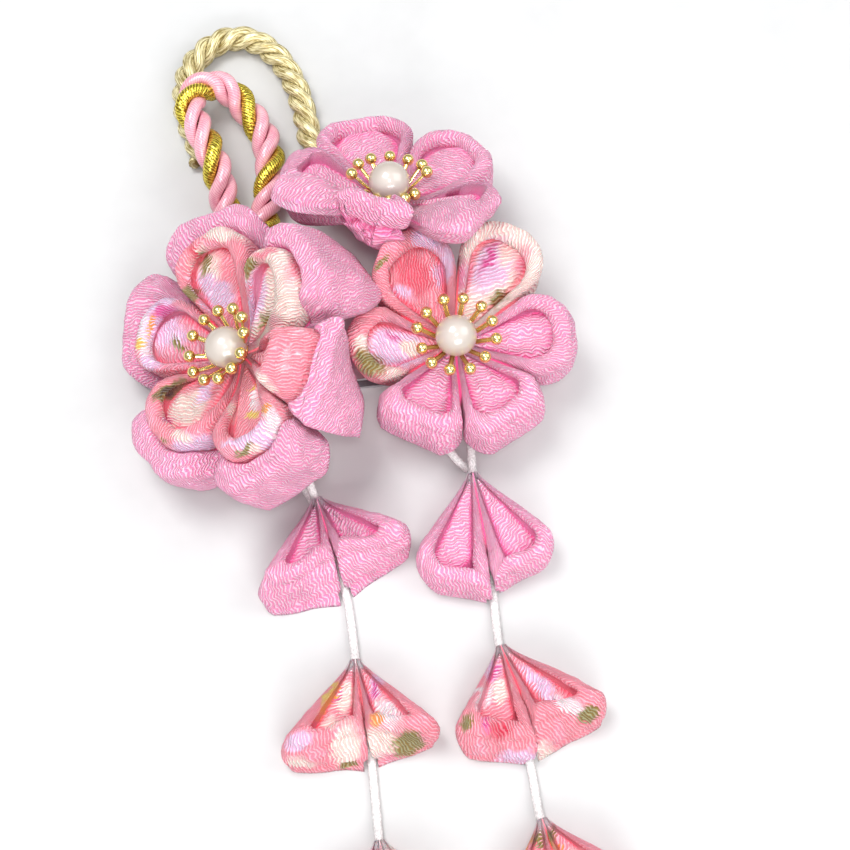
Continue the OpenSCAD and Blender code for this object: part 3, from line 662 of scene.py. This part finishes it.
def petal_surface(p, make, look):
    """Rings of points in the petal's own frame, what each ring is and how much painted shade its creases get."""
    p = p._replace(foot_turn=look.get("foot_turn", p.foot_turn), foot_widen=look.get("foot_widen", p.foot_widen),
                   rim_r=p.rim_r + look["rim_out"])
    blunt, seam = look["blunt"], look["seam"]
    sin_half = sin(radians(p.half))
    aside = look["aside"] * p.half
    gap, lean, rim_wide, painted_glow = GAP, 1.0, RIM_WIDE, PAINTED_SEAM_GLOW * AT_SEAM
    if make.channel:
        # a drop's petal meets the other one on one side only
        gap, lean, rim_wide = DROP_GAP, 0.4, 1.0
        painted_glow = PAINTED_DROP_SEAM_GLOW * AT_SEAM * ((2 * np.arange(COLS) > COLS) == (blunt < 0))
    rows = []

    def ring(up, wide, inward, down, back, kind, bulge=0.0, dark=0.0, painted_side_shade=0.0, seam=0.0, swing=0.0):
        reach = lerp(p.foot_r, p.rim_r, up) + bulge - inward * ROLL
        tip = gap / sin_half + lean * back
        half = (p.half + (1 - up) * p.foot_widen) * wide
        skew = lerp(p.foot_skew, p.skew, up)
        q = outline(half, reach, tip, p.square, skew, p.corner)
        s = (q[:, 0] - tip) / (reach - tip)
        slant = p.slant * s * q[:, 1] / (reach * sin(radians(half)))
        rim_z = lerp(make.tip_z, p.rim_z, smooth((s - make.rise_from) / (make.rise_to - make.rise_from)))
        top = rim_z - down * (1 - seam * FROM_ARC) * (ROLL * np.minimum(1, 0.22 + 1.1 * s)) + slant
        z = lerp(make.base_z + p.foot_z * smooth((s - 0.45) / 0.55), top, up)
        if make.channel:
            cut = outline(half, reach, tip + make.channel / sin_half, p.square, skew, p.corner)
            q = lerp(q, cut, np.clip((CHANNEL_TOP - z) / 0.6, 0, 1)[:, None])
        q[:, 1] += blunt * np.exp(-(q[:, 0] - tip) / 1.6) * (np.sign(q[:, 1]) == np.sign(blunt))
        # painted shade in the creases and low along the straight sides; a wall's seam also gets its painted glow
        shade = np.clip(dark * smooth((s - 0.05) / 0.3) + painted_side_shade * FROM_ARC, 0, 1)
        if kind == WALL and not p.hug_r:
            shade = np.maximum(shade, painted_glow)
        rows.append(row(turned(q, radians((1 - up) * p.foot_turn + swing)), z, kind, shade))

    # the underside gets painted shade
    for wide, inward in UNDER_RINGS:
        ring(0, wide, inward, 0, (1 - wide) * 6, UNDER, dark=0.6)
    # the wall, with a hem's crease in painted shade and painted shade low along its straight sides
    for k in range(WALL_STEPS + 1):
        up = k / WALL_STEPS
        hem = exp(-((up - look["hem"]) / 0.05) ** 2) if look["hem"] else 0.0
        ring(up * 0.985, lerp(1.0, rim_wide, up), 0, 0.9 * up ** 3, 0.3 * up, WALL,
             0.45 * sin(pi * up) - 0.15 * hem, 0.25 * hem, 0.75 * (1 - smooth(up / 0.8)), seam)
    if p.hug_r:
        # the cloth leans over the rim to the inner petal
        for f in np.arange(1, LEAN_STEPS + 1) / LEAN_STEPS:
            a = radians(lerp(ROLL_FROM, 20, f))
            ring(1, RIM_WIDE, 1 + sin(a), (1 - cos(a)) * 0.9, 0.2 + 0.3 * f, RIM, seam=seam if a < 0 else 0)
        rows += sleeve(rows[-1][0], p, look, sin_half)
        return [np.array(part) for part in zip(*rows)]
    # the rolled rim, with painted shade where it rolls under into the pocket
    rim_in, roll_to = look.get("rim_in", make.rim_in), look["roll_to"]
    for k in range(1, RIM_STEPS + 1):
        a = radians(lerp(ROLL_FROM, roll_to, k / RIM_STEPS))
        share = 1 + sin(a)
        wide = rim_wide - (rim_wide - rim_in) / 2 * share
        ring(1, wide, 1 + sin(a) * (look["end_roll"] if a > 0 else 1), 1 - cos(a), 0.2 + look["back"] * share,
             RIM, dark=0.8 * smooth((degrees(a) - 105) / 40), seam=seam if a < 0 else 0,
             swing=aside * (RIM_WIDE - wide))
    wide = RIM_WIDE - (RIM_WIDE - rim_in) / 2 * (1 + sin(radians(roll_to)))
    rows += pocket(p, make, look, sin_half, (rim_in if roll_to > 90 else wide) - 0.05,
                   radians(aside * (RIM_WIDE - wide)))
    return [np.array(part) for part in zip(*rows)]


def cloth_coordinates(rings, kinds, painted_shades, look, seed):
    """The cloth's own coordinates, along the edge and across it or straight on the tongue, and the creases' painted
    shade.
    """
    middle = rings.shape[1] // 2
    step = np.linalg.norm(np.diff(rings, axis=1), axis=2)
    along = np.concatenate([np.zeros((len(rings), 1)), np.cumsum(step, axis=1)], axis=1)
    along -= along[:, middle:middle + 1]
    across = np.concatenate([[0], np.cumsum(np.linalg.norm(np.diff(rings[:, middle], axis=0), axis=1))])
    a, b = radians(look["tilt"]), radians(look["tongue_tilt"])
    cloth = np.zeros(rings.shape)
    cloth[..., 0] = along * cos(a) + across[:, None] * sin(a) + seed * 13.7
    cloth[..., 1] = -along * sin(a) + across[:, None] * cos(a) + seed * 7.9
    on_tongue = kinds == POCKET
    x, y = rings[on_tongue][..., 0], rings[on_tongue][..., 1]
    cloth[on_tongue, :, 0] = x * cos(b) + y * sin(b) + seed * 5.1
    cloth[on_tongue, :, 1] = -x * sin(b) + y * cos(b)
    cloth[..., 2] = painted_shades
    return cloth


def softened(rings, kinds, seed, is_drop):
    """The rings with soft dents and puckers and the cloth's own thickness, all less along the straight sides."""
    normal = np.cross(np.gradient(rings, axis=1), np.gradient(rings, axis=0))
    normal /= np.maximum(np.linalg.norm(normal, axis=-1, keepdims=True), 1e-6)
    soft = 0.22 * waves(rings, 7.5, seed) + 0.07 * waves(rings, 2.4, seed + 100) + 0.05 * waves(rings, 1.1, seed + 200)
    col = np.arange(rings.shape[1])
    at_side = ((col < SIDE_COLS) | (col > SIDE_COLS + ARC_COLS))[None]
    kinds = kinds[:, None]
    free = np.where(kinds == UNDER, 0.0, 1.0) * np.where(at_side, 0.15, 1.0)
    free = np.where((kinds == POCKET) & at_side, 0.6, free)
    puff = np.where(kinds == UNDER, 0.0, np.where(kinds == POCKET, -0.02, 0.10)) * np.ones(len(col))
    if is_drop:
        puff = puff * np.where(at_side, 0, 1)
        free = np.where((kinds != POCKET) & at_side, 0, free)
    corner = np.minimum(np.abs(col - SIDE_COLS), np.abs(col - SIDE_COLS - ARC_COLS))
    return rings + normal * (soft * (free * np.clip(corner / 6, 0.2, 1)) + puff)[..., None]


def petal_piece(node, p, make_name, place, look):
    """Makes a petal's cloth with its look in place of the CAD's plain solid."""
    seed = len(petals) + 1
    rings, kinds, painted_shades = petal_surface(p, MAKES[make_name], look)
    rows, cols = rings.shape[:2]
    cloth = cloth_coordinates(rings, kinds, painted_shades, look, seed)
    rings = softened(rings, kinds, seed, make_name == "drop")
    faces = ring_faces(rows, cols)
    # the first and the last ring are closed across
    for k in range(cols // 2):
        for start, flip in ((0, True), ((rows - 1) * cols, False)):
            quad = (start + k, start + k + 1, start + cols - 2 - k, start + cols - 1 - k)
            face = quad if len(set(quad)) == 4 else tuple(dict.fromkeys(quad))
            if len(face) >= 3:
                faces.append(face[::-1] if flip else face)
    world = moved(rings.reshape(-1, 3), place @ turn_z(p.turn))
    if "hang" in look:
        world = hang(world.reshape(rows, cols, 3), cloth, radians(look["tilt"]), *look["hang"]).reshape(-1, 3)
    world[:, 2] = np.maximum(world[:, 2], 0.01)
    spots = find_spots(world, faces, look["spots"]) + look["glue"]
    material = crepe_material("crepe_" + node, look["base"], spots, look["wave"])
    obj = make_mesh("cloth_" + node, world, faces, material)
    point_vectors(obj, "cloth", cloth.reshape(-1, 3))
    stand_for(obj, node)
    petals[node] = obj


# how far hanging cloth stays above the petals below it, and the share of the wall that hangs
CLEAR, HUNG = 0.8, 0.75


def neighbours(values):
    """The sum of each value's neighbours round the ring."""
    return np.roll(values, 1, 0) + np.roll(values, -1, 0)


def hang(world, cloth, tilt, reach, band, inward, belly, flare, below):
    """Lets the wall on the viewer's side hang straight down to just over the petals below it.

    Above the band's end, a share of the way, the wall bellies out; below it comes a dent, then cloth that flares."""
    edge = world[EDGE_ROW].copy()
    along = unit(np.gradient(edge, axis=0))
    out = unit(np.cross(along, [0, 0, 1]) + 1e-9)
    out *= np.sign(np.sum(out * (edge - world[FOOT_ROW].mean(axis=0)), axis=1, keepdims=True))
    facing = smooth(-out[:, 1] / 0.8)
    room = np.full(len(edge), np.nan)
    for name in below:
        mesh = petals[name].data
        tree = BVHTree.FromPolygons([tuple(v.co) for v in mesh.vertices], [tuple(f.vertices) for f in mesh.polygons])
        for further in (0, 0.5 * flare, flare, flare + 0.6):
            for k, q in enumerate(edge + further * out):
                hit = tree.ray_cast(Vector(q * MM), Vector((0, 0, -1)))[0]
                if hit is not None:
                    room[k] = np.nanmin([room[k], q[2] - hit.z / MM - CLEAR])
    known = ~np.isnan(room)
    k = np.arange(len(edge))
    room = np.clip(np.interp(k, k[known], room[known]), 0, reach) if known.any() else np.zeros(len(edge))
    for _ in range(4):
        room = np.minimum(room, neighbours(room) / 2)
    for _ in range(40):
        room = (room + neighbours(room)) / 3
        out = unit(out + neighbours(out))
    drop = np.array([0, 0, -1.0]) * room[:, None]
    for i in range(FOOT_ROW, EDGE_ROW):
        t = 1 - (i - FOOT_ROW) / WALL_STEPS
        way = min(1, t / HUNG)
        u = t / HUNG - band
        aside = belly * sin(pi * way)
        if inward:
            aside += flare * smooth(u / 0.3) - (flare + inward) * exp(-((u - 0.1) / 0.1) ** 2)
            # painted shade in the dent under the band, and a little on the cloth below it
            cloth[i, :, 2] = 0.5 * exp(-((u - 0.12) / 0.14) ** 2) + 0.12 * smooth(u / 0.2)
        else:
            # less painted shade where the wall faces the viewer
            cloth[i, :, 2] *= 1 - 0.95 * facing
        new = lerp(edge + drop * way + out * aside, world[FOOT_ROW], smooth((t - HUNG) / (1 - HUNG)))
        world[i] = lerp(world[i], new, facing[:, None])
        for _ in range(10):
            world[i] = lerp(world[i], (world[i] + neighbours(world[i])) / 3, (facing * min(1, 2.5 * t))[:, None])
    # the crepe keeps its size along the way down
    wall = slice(FOOT_ROW, EDGE_ROW + 1)
    down = np.cumsum(np.linalg.norm(np.diff(world[wall], axis=0), axis=2)[::-1], axis=0)[::-1]
    across = cloth[wall, :, 0] * sin(tilt) + cloth[wall, :, 1] * cos(tilt)
    more = across[-1] - down - across[:-1]
    cloth[FOOT_ROW:EDGE_ROW, :, 0] += more * sin(tilt)
    cloth[FOOT_ROW:EDGE_ROW, :, 1] += more * cos(tilt)
    return world


# a spot reaches at least this many pixels deep
LEAST_DEPTH = 14


def find_spots(world, faces, spots):
    """Turns spots chosen on the photograph, in pixels, into ellipsoids of dye on the cloth; a "dark" one is painted
    shade.
    """
    if not spots:
        return []
    tree = BVHTree.FromPolygons((world * MM).tolist(), faces)
    found = []
    for spot in spots.split(","):
        *numbers, colour = spot.split()[:6]
        x, y, rx, ry, angle = map(float, numbers)
        soft = spot.split()[6:]
        hit = tree.ray_cast(EYE, px_ray(x, y))[0]
        if hit is None:
            print("spot misses its petal", x, y, colour)
            continue
        px = (hit - EYE).dot(-CAM_Z) * PX_SLOPE
        a = radians(angle)
        long_way = CAM_X * cos(a) + CAM_Y * sin(a)
        short_way = CAM_Y * cos(a) - CAM_X * sin(a)
        turn = Matrix((long_way, short_way, CAM_Z)).transposed().to_euler()
        size = (rx * px, ry * px, max(rx, ry, LEAST_DEPTH) * px)
        found.append((tuple(hit), tuple(turn), size, colour, float(soft[0]) if soft else 0.35))
    return found


petals = {}
# What sets each petal apart: its dye, its folds and its print's spots, with a comma between them; a "dark" spot
# is painted shade. A spot is x, y and its two half widths in the photograph's pixels, the turn of the first, a colour,
# and at will how soft it is.
LOOKS = {
    "left_inner_petal_1": dict(base="coral", end_roll=0.8, rim_in=0.78, aside=0.35, spots="""
    222 231 30 7 -8 cream 0.5, 208 264 17 19 0 cream 0.3, 212 288 24 12 -50 lavender, 222 296 14 16 -50 lavender,
    196 255 4 12 15 red 0.6, 206 261 5.5 12 5 olive 0.3, 193 293 10 8 -20 olive, 212 246 7 4 0 rose"""),
    "left_inner_petal_2": dict(base="rose", end_roll=0.75, rim_in=0.84, spots="""
    147 330 9 34 12 white 0.4, 163 300 24 8 25 lavender, 150 360 12 8 -40 lavender, 170 327 24 22 0 lavender 0.35,
    165 311 14 6 20 magenta 0.6, 187 323 11 8 -30 rose, 141 343 7 5 0 yellow, 153 325 3 10 -10 orange,
    180 344 15 3.6 -48 olive 0.4, 172 373 26 5 8 coral"""),
    # its dark spot at the upper side is painted shade in a crease, laid over the olive print
    "left_inner_petal_3": dict(base="coral", end_roll=0.8, rim_in=0.82, spots="""
    188 408 22 17 30 cream 0.3, 206 392 7 13 -12 lavender, 168 421 8 6 0 magenta 0.5, 196 445 28 11 12 lavender 0.4,
    182 435 14 6 -20 cream, 170 390 20 7 30 olive 0.3, 168 391 12 3 30 dark 0.5, 163 440 4 3 -40 olive,
    150 410 8 16 10 rose, 222 440 6 12 0 white"""),
    "left_inner_petal_4": dict(base="coral", spots="""
    235 413 8 13 -5 cream, 256 435 27 13 30 lavender, 256 397 5 15 12 white, 273 424 9 18 5 white,
    268 438 6 12 10 lavender, 252 388 5 3 10 yellow, 253 413 6 3.6 20 yellow, 268 408 4 4 0 orange,
    237 440 16 4 10 lavender, 257 449 8 5 20 cream, 245 450 11 4.5 35 olive, 229 452 9 8 20 rose"""),
    "left_inner_petal_5": dict(base="coral", spots="""
    268 388 19 7 -52 cream, 280 397 12 4 -10 rose, 300 330 5 4 0 pale 0.6, 288 353 6 4.5 20 pale 0.6,
    286 367 5 4 0 pale 0.6, 304 352 4 4 0 pale 0.6, 299 374 4 3 0 rose 0.6, 262 352 8 14 -20 rose"""),
    "left_inner_petal_6": dict(base="cream", end_roll=0.8, rim_in=0.64, aside=0.85, spots="""
    266 252 14 6 20 coral 0.5, 298 268 9 26 -10 coral 0.6, 262 268 6 14 -8 rose, 255 298 13 30 -12 lavender 0.3,
    247 292 4 14 -8 rose 0.5, 249 265 10 8 25 olive 0.25, 266 318 4.5 10 -25 olive 0.45, 275 322 9 10 0 pale 0.6,
    252 341 8 10 0 rose 0.6"""),
    "left_outer_petal_5": dict(tilt=60, hug_clear=1.5),
    "left_outer_petal_6": dict(tilt=30, foot_turn=6, foot_widen=-4),
    "top_petal_1": dict(roll_to=132, end_roll=0.8, rim_in=0.8, tongue_end=0.94, depth_end=1.7),
    "top_petal_2": dict(roll_to=132, end_roll=0.8, rim_in=0.8, tongue_end=0.94, depth_end=1.7),
    "top_petal_3": dict(seam=0.3, roll_to=45, rim_in=0.25, aside=0.9, pocket_in=2.4, depth_end=1.6, crown=0.8,
                        hang=(4.8, 2.0, 0, 0.5, 0, ("right_petal_2", "right_petal_3"))),
    "top_petal_4": dict(tilt=40, hang=(12.0, 0.56, 0.8, 1.6, 2.0, ("right_petal_3", "left_outer_petal_6"))),
    "top_petal_5": dict(roll_to=50, rim_in=0.4, aside=-0.8, pocket_in=2.0, depth_end=1.8, crown=0.8,
                        hang=(6.0, 2.0, 0, 1.6, 0, ("left_outer_petal_6", "left_outer_petal_1"))),
    "right_petal_1": dict(tongue_tilt=92),
    "right_petal_2": dict(base="cream", wave=0.76, tongue_tilt=45, rim_in=0.8, spots="""
    462 277 8 18 -12 pink 0.45, 492 266 18 30 -28 lavender, 490 258 4 17 -24 magenta 0.6, 508 250 7 16 -28 cream 0.5,
    501 300 13 7 35 olive, 524 262 7 18 -20 rose 0.6"""),
    "right_petal_3": dict(base="coral", wave=0.55, tongue_tilt=64, rim_in=0.8, spots="""
    430 239 17 10 -35 lavender, 446 264 9 21 -12 lavender, 416 274 20 17 -50 deep, 402 290 12 5 -35 lavender 0.5,
    382 263 4 10 -35 olive, 396 240 14 8 30 rose"""),
    "right_petal_4": dict(base="coral", rim_in=0.78, spots="""
    398 346 29 21 -8 lavender 0.3, 366 342 11 9 0 cream, 404 376 28 8 -10 cream, 412 348 10 8 -10 cream,
    394 337 11 3 -30 magenta 0.6, 372 361 17 14 -25 olive, 400 318 20 6 0 rose"""),
    "right_petal_5": dict(tongue_tilt=19, rim_in=0.84),
    "right_petal_6": dict(tongue_tilt=155, rim_in=0.84),
    "right_drop_1_petal_a": dict(hem=0, end_roll=0.75, rim_in=0.62, rim_out=1.3),
    "right_drop_1_petal_b": dict(hem=0, end_roll=0.75, rim_in=0.62, rim_out=1.0),
    "left_drop_2_petal_a": dict(base="coral", spots="""
    346 697 9 18 -8 cream 0.25, 298 742 18 10 20 lavender 0.3, 339 694 2.6 7 -10 magenta 0.5,
    329 699 21 5 57 yellow 0.3, 347 746 14 26 -12 cream 0.25, 351 764 9 6 10 olive 0.3, 304 764 16 8 -20 cream 0.3,
    330 722 10 6 10 cream 0.4, 318 752 12 7 -10 rose"""),
    "left_drop_2_petal_b": dict(base="coral", spots="""
    376 686 6 14 -20 lavender, 375 690 3 9 -15 magenta 0.5, 391 713 20 12 -42 white, 377 718 5 10 -10 orange 0.4,
    379 745 19 20 -10 cream 0.25, 396 757 16 7 -10 rose 0.5, 410 745 15 24 -8 olive 0.2"""),
    "left_drop_3_petal_a": dict(base="coral", spots="""
    372 872 8 14 -8 lavender, 352 884 18 5 57 cream, 334 918 15 8 0 olive, 362 932 13 12 0 rose,
    346 938 9 7 0 white"""),
    "left_drop_3_petal_b": dict(base="cream", spots="""
    402 868 6 14 -20 coral, 414 892 18 9 -42 rose, 400 898 5 9 0 magenta 0.5, 398 926 9 20 0 coral,
    430 926 10 14 -8 lavender, 440 908 8 6 0 yellow"""),
    "right_drop_2_petal_a": dict(base="coral", spots="""
    495 671 6 13 -12 lavender, 497 672 2.6 10 -12 magenta 0.5, 502 690 9 12 0 cream 0.3, 480 700 20 8 58 white 0.3,
    487 724 3 9 -5 magenta 0.5, 468 724 6 10 -10 olive, 522 758 24 9 5 lavender 0.4, 500 730 10 10 0 red 0.7,
    482 750 10 12 0 rose"""),
    "right_drop_2_petal_b": dict(base="coral", spots="""
    542 684 30 6 -42 lavender 0.3, 570 704 24 7 -32 white 0.35, 545 752 12 14 0 cream 0.4, 592 714 12 10 -30 olive 0.2,
    560 735 8 16 0 rose"""),
    "right_drop_3_petal_a": dict(base="coral", spots="""
    540 838 5 9 20 olive, 528 848 12 3 60 orange, 536 868 9 12 0 cream, 520 878 17 6 55 yellow,
    508 902 10 8 0 lavender, 540 930 14 10 0 white"""),
    "right_drop_3_petal_b": dict(base="coral", spots="""
    551 838 5 9 -20 olive, 560 846 12 3 -50 orange, 586 862 20 5 -42 cream, 606 878 11 8 -30 lavender,
    602 908 10 14 0 rose, 580 916 8 14 0 cream"""),
}

for side, flower, numbers, make_name in (
        ("left_inner", "left", LEFT_INNER, "inner"), ("left_outer", "left", LEFT_OUTER, "outer"),
        ("right", "right", RIGHT_MIXED, "single"), ("top", "top", TOP_PLAIN, "single")):
    for i, p in enumerate(numbers):
        node = "%s_petal_%d" % (side, i + 1)
        look = dict(FOLDS, inner=Petal(*LEFT_INNER[i]) if side == "left_outer" else None, **LOOKS.get(node, {}))
        petal_piece(node, Petal(*p), make_name, flower_place(flower), look)
for side, drops, pairs in (("left", LEFT_DROPS, LEFT_DROP_PETALS), ("right", RIGHT_DROPS, RIGHT_DROP_PETALS)):
    for i, ((at, way), pair) in enumerate(zip(drops, pairs)):
        # glue at the drop's tip: its middle, turn and half axes
        glue = (tuple(Vector(at[:2] + (4,)) * MM), (0, 0, 0), (0.0022, 0.0022, 0.004), "glue", 0.5)
        for key, p, blunt in zip("ab", pair, (-BLUNT, BLUNT)):
            node = "%s_drop_%d_petal_%s" % (side, i + 1, key)
            look = {**DROP_FOLDS, "blunt": blunt, "glue": [glue], **LOOKS.get(node, {})}
            petal_piece(node, Petal(*p), "drop", Matrix.Translation(at) @ turn_z(way), look)

# ---- hearts

PEARL_D, STAMENS, REACH, BALL_D, WIRE_D = 8.0, 12, 7.4, 2.35, 1.0
RING_TURN = {"left": 4, "top": 0, "right": -8}
PEARL_AT = {"left": (1.0, -0.5), "top": (0.0, -2.0), "right": (0.0, 0.0)}
CUP_R, CUP_T, BALL_RISE = 2.4, 0.6, 1.3
PEARL_Z = CUP_T + 0.1 + PEARL_D / 2
WIRE_SIDES, CUP_SIDES = 8, 32


def ball(centre, d, rows, cols, first):
    """Points and faces of a ball. Its own points are counted from first."""
    x, y, z = centre
    verts = [(x, y, z - d / 2)]
    for i in range(1, rows):
        a = pi * i / rows
        for b in (2 * pi * j / cols for j in range(cols)):
            verts.append((x + d / 2 * sin(a) * cos(b), y + d / 2 * sin(a) * sin(b),
                          z - d / 2 * cos(a)))
    verts.append((x, y, z + d / 2))
    last = first + 1 + (rows - 2) * cols
    faces = []
    for j in range(cols):
        k = (j + 1) % cols
        faces += [(first, first + 1 + k, first + 1 + j), (first + len(verts) - 1, last + j, last + k)]
        for r in range(first + 1, last, cols):
            faces.append((r + j, r + k, r + cols + k, r + cols + j))
    return verts, faces


for name in FLOWERS:
    place = heart_place(name)
    verts, faces = ball(PEARL_AT[name] + (PEARL_Z,), PEARL_D, 32, 48, 0)
    stand_for(make_mesh(name + "_pearl_bead", moved(verts, place), faces, pearl_look), name + "_pearl")
    verts, faces = [], []
    for i in range(STAMENS):
        a = 2 * pi * i / STAMENS + radians(RING_TURN[name] + rng.uniform(-3, 3))
        foot = np.array([(CUP_R - 0.5) * cos(a), (CUP_R - 0.5) * sin(a), CUP_T / 2])
        reach = REACH + rng.uniform(-0.35, 0.25)
        rise = BALL_RISE + rng.uniform(-0.5, 0.2)
        if name == "top" and sin(a) < -0.2:
            # the top pearl sits over these stamens, which are bent down
            reach, rise = 5.6, -2.4
        head = np.array([reach * cos(a), reach * sin(a), PEARL_Z + rise])
        v, f = ball(head, BALL_D, 14, 20, len(verts))
        verts += v
        faces += f
        axis = unit(head - foot)
        u = unit(np.cross([0, 0, 1], axis))
        w = np.cross(axis, u)
        faces += [tuple(len(verts) + q for q in f) for f in ring_faces(2, WIRE_SIDES)]
        for end in (foot, head):
            for b in (2 * pi * k / WIRE_SIDES for k in range(WIRE_SIDES)):
                verts.append(tuple(end + WIRE_D / 2 * (cos(b) * u + 0.55 * sin(b) * w)))
    # the cup
    low, high = len(verts), len(verts) + CUP_SIDES
    for z in (0, CUP_T):
        for a in (2 * pi * k / CUP_SIDES for k in range(CUP_SIDES)):
            verts.append((CUP_R * cos(a), CUP_R * sin(a), z))
    faces += [tuple(low + q for q in f) for f in ring_faces(2, CUP_SIDES)]
    faces += [tuple(range(high, high + CUP_SIDES)), tuple(range(high - 1, low - 1, -1))]
    stand_for(make_mesh(name + "_stamen_ring", moved(verts, place), faces, gold_look), name + "_stamens")

# ---- clip

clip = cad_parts["clip"]
clip.data.materials.clear()
clip.data.materials.append(steel_look)

# ---- stage and light

floor_look = plain_material("floor", (0.56, 0.56, 0.555), 0.9, 0.0, 60, 0.0)
floor_mesh = bpy.data.meshes.new("floor")
floor_mesh.from_pydata([(-3, -3, 0), (3, -3, 0), (3, 3, 0), (-3, 3, 0)], [], [(0, 1, 2, 3)])
floor_mesh.materials.append(floor_look)
floor = link(bpy.data.objects.new("floor", floor_mesh))
floor.location.z = -0.00005


def area_light(name, at, size, power):
    data = bpy.data.lights.new(name, "AREA")
    data.shape = "RECTANGLE"
    data.size, data.size_y = size
    data.energy = power
    obj = link(bpy.data.objects.new(name, data))
    obj.location = at
    obj.rotation_euler = (Vector((0, -0.03, 0)) - Vector(at)).to_track_quat("-Z", "Y").to_euler()


area_light("key", (-0.28, 0.16, 0.82), (0.40, 0.40), 5.5)
area_light("front", (0.18, -0.80, 0.50), (0.60, 0.40), 5.6)
area_light("near", (0.04, -0.26, 0.75), (0.10, 0.10), 1.3)
area_light("fill", (0.6, 0.1, 0.6), (0.6, 0.6), 2.5)
studio = bpy.data.worlds.new("studio")
sky = Nodes(studio)
height = sky.parts(sky.add("TexCoord").outputs["Generated"])[2]
shine = sky.add("Background", {"Color": (0.93, 0.95, 1.0, 1), "Strength": sky.remap(height, -0.1, 0.9, 0.22, 0.70)})
sky.add("OutputWorld", {"Surface": shine.outputs[0]})
bpy.context.scene.world = studio
bpy.context.scene.view_settings.view_transform = "Standard"
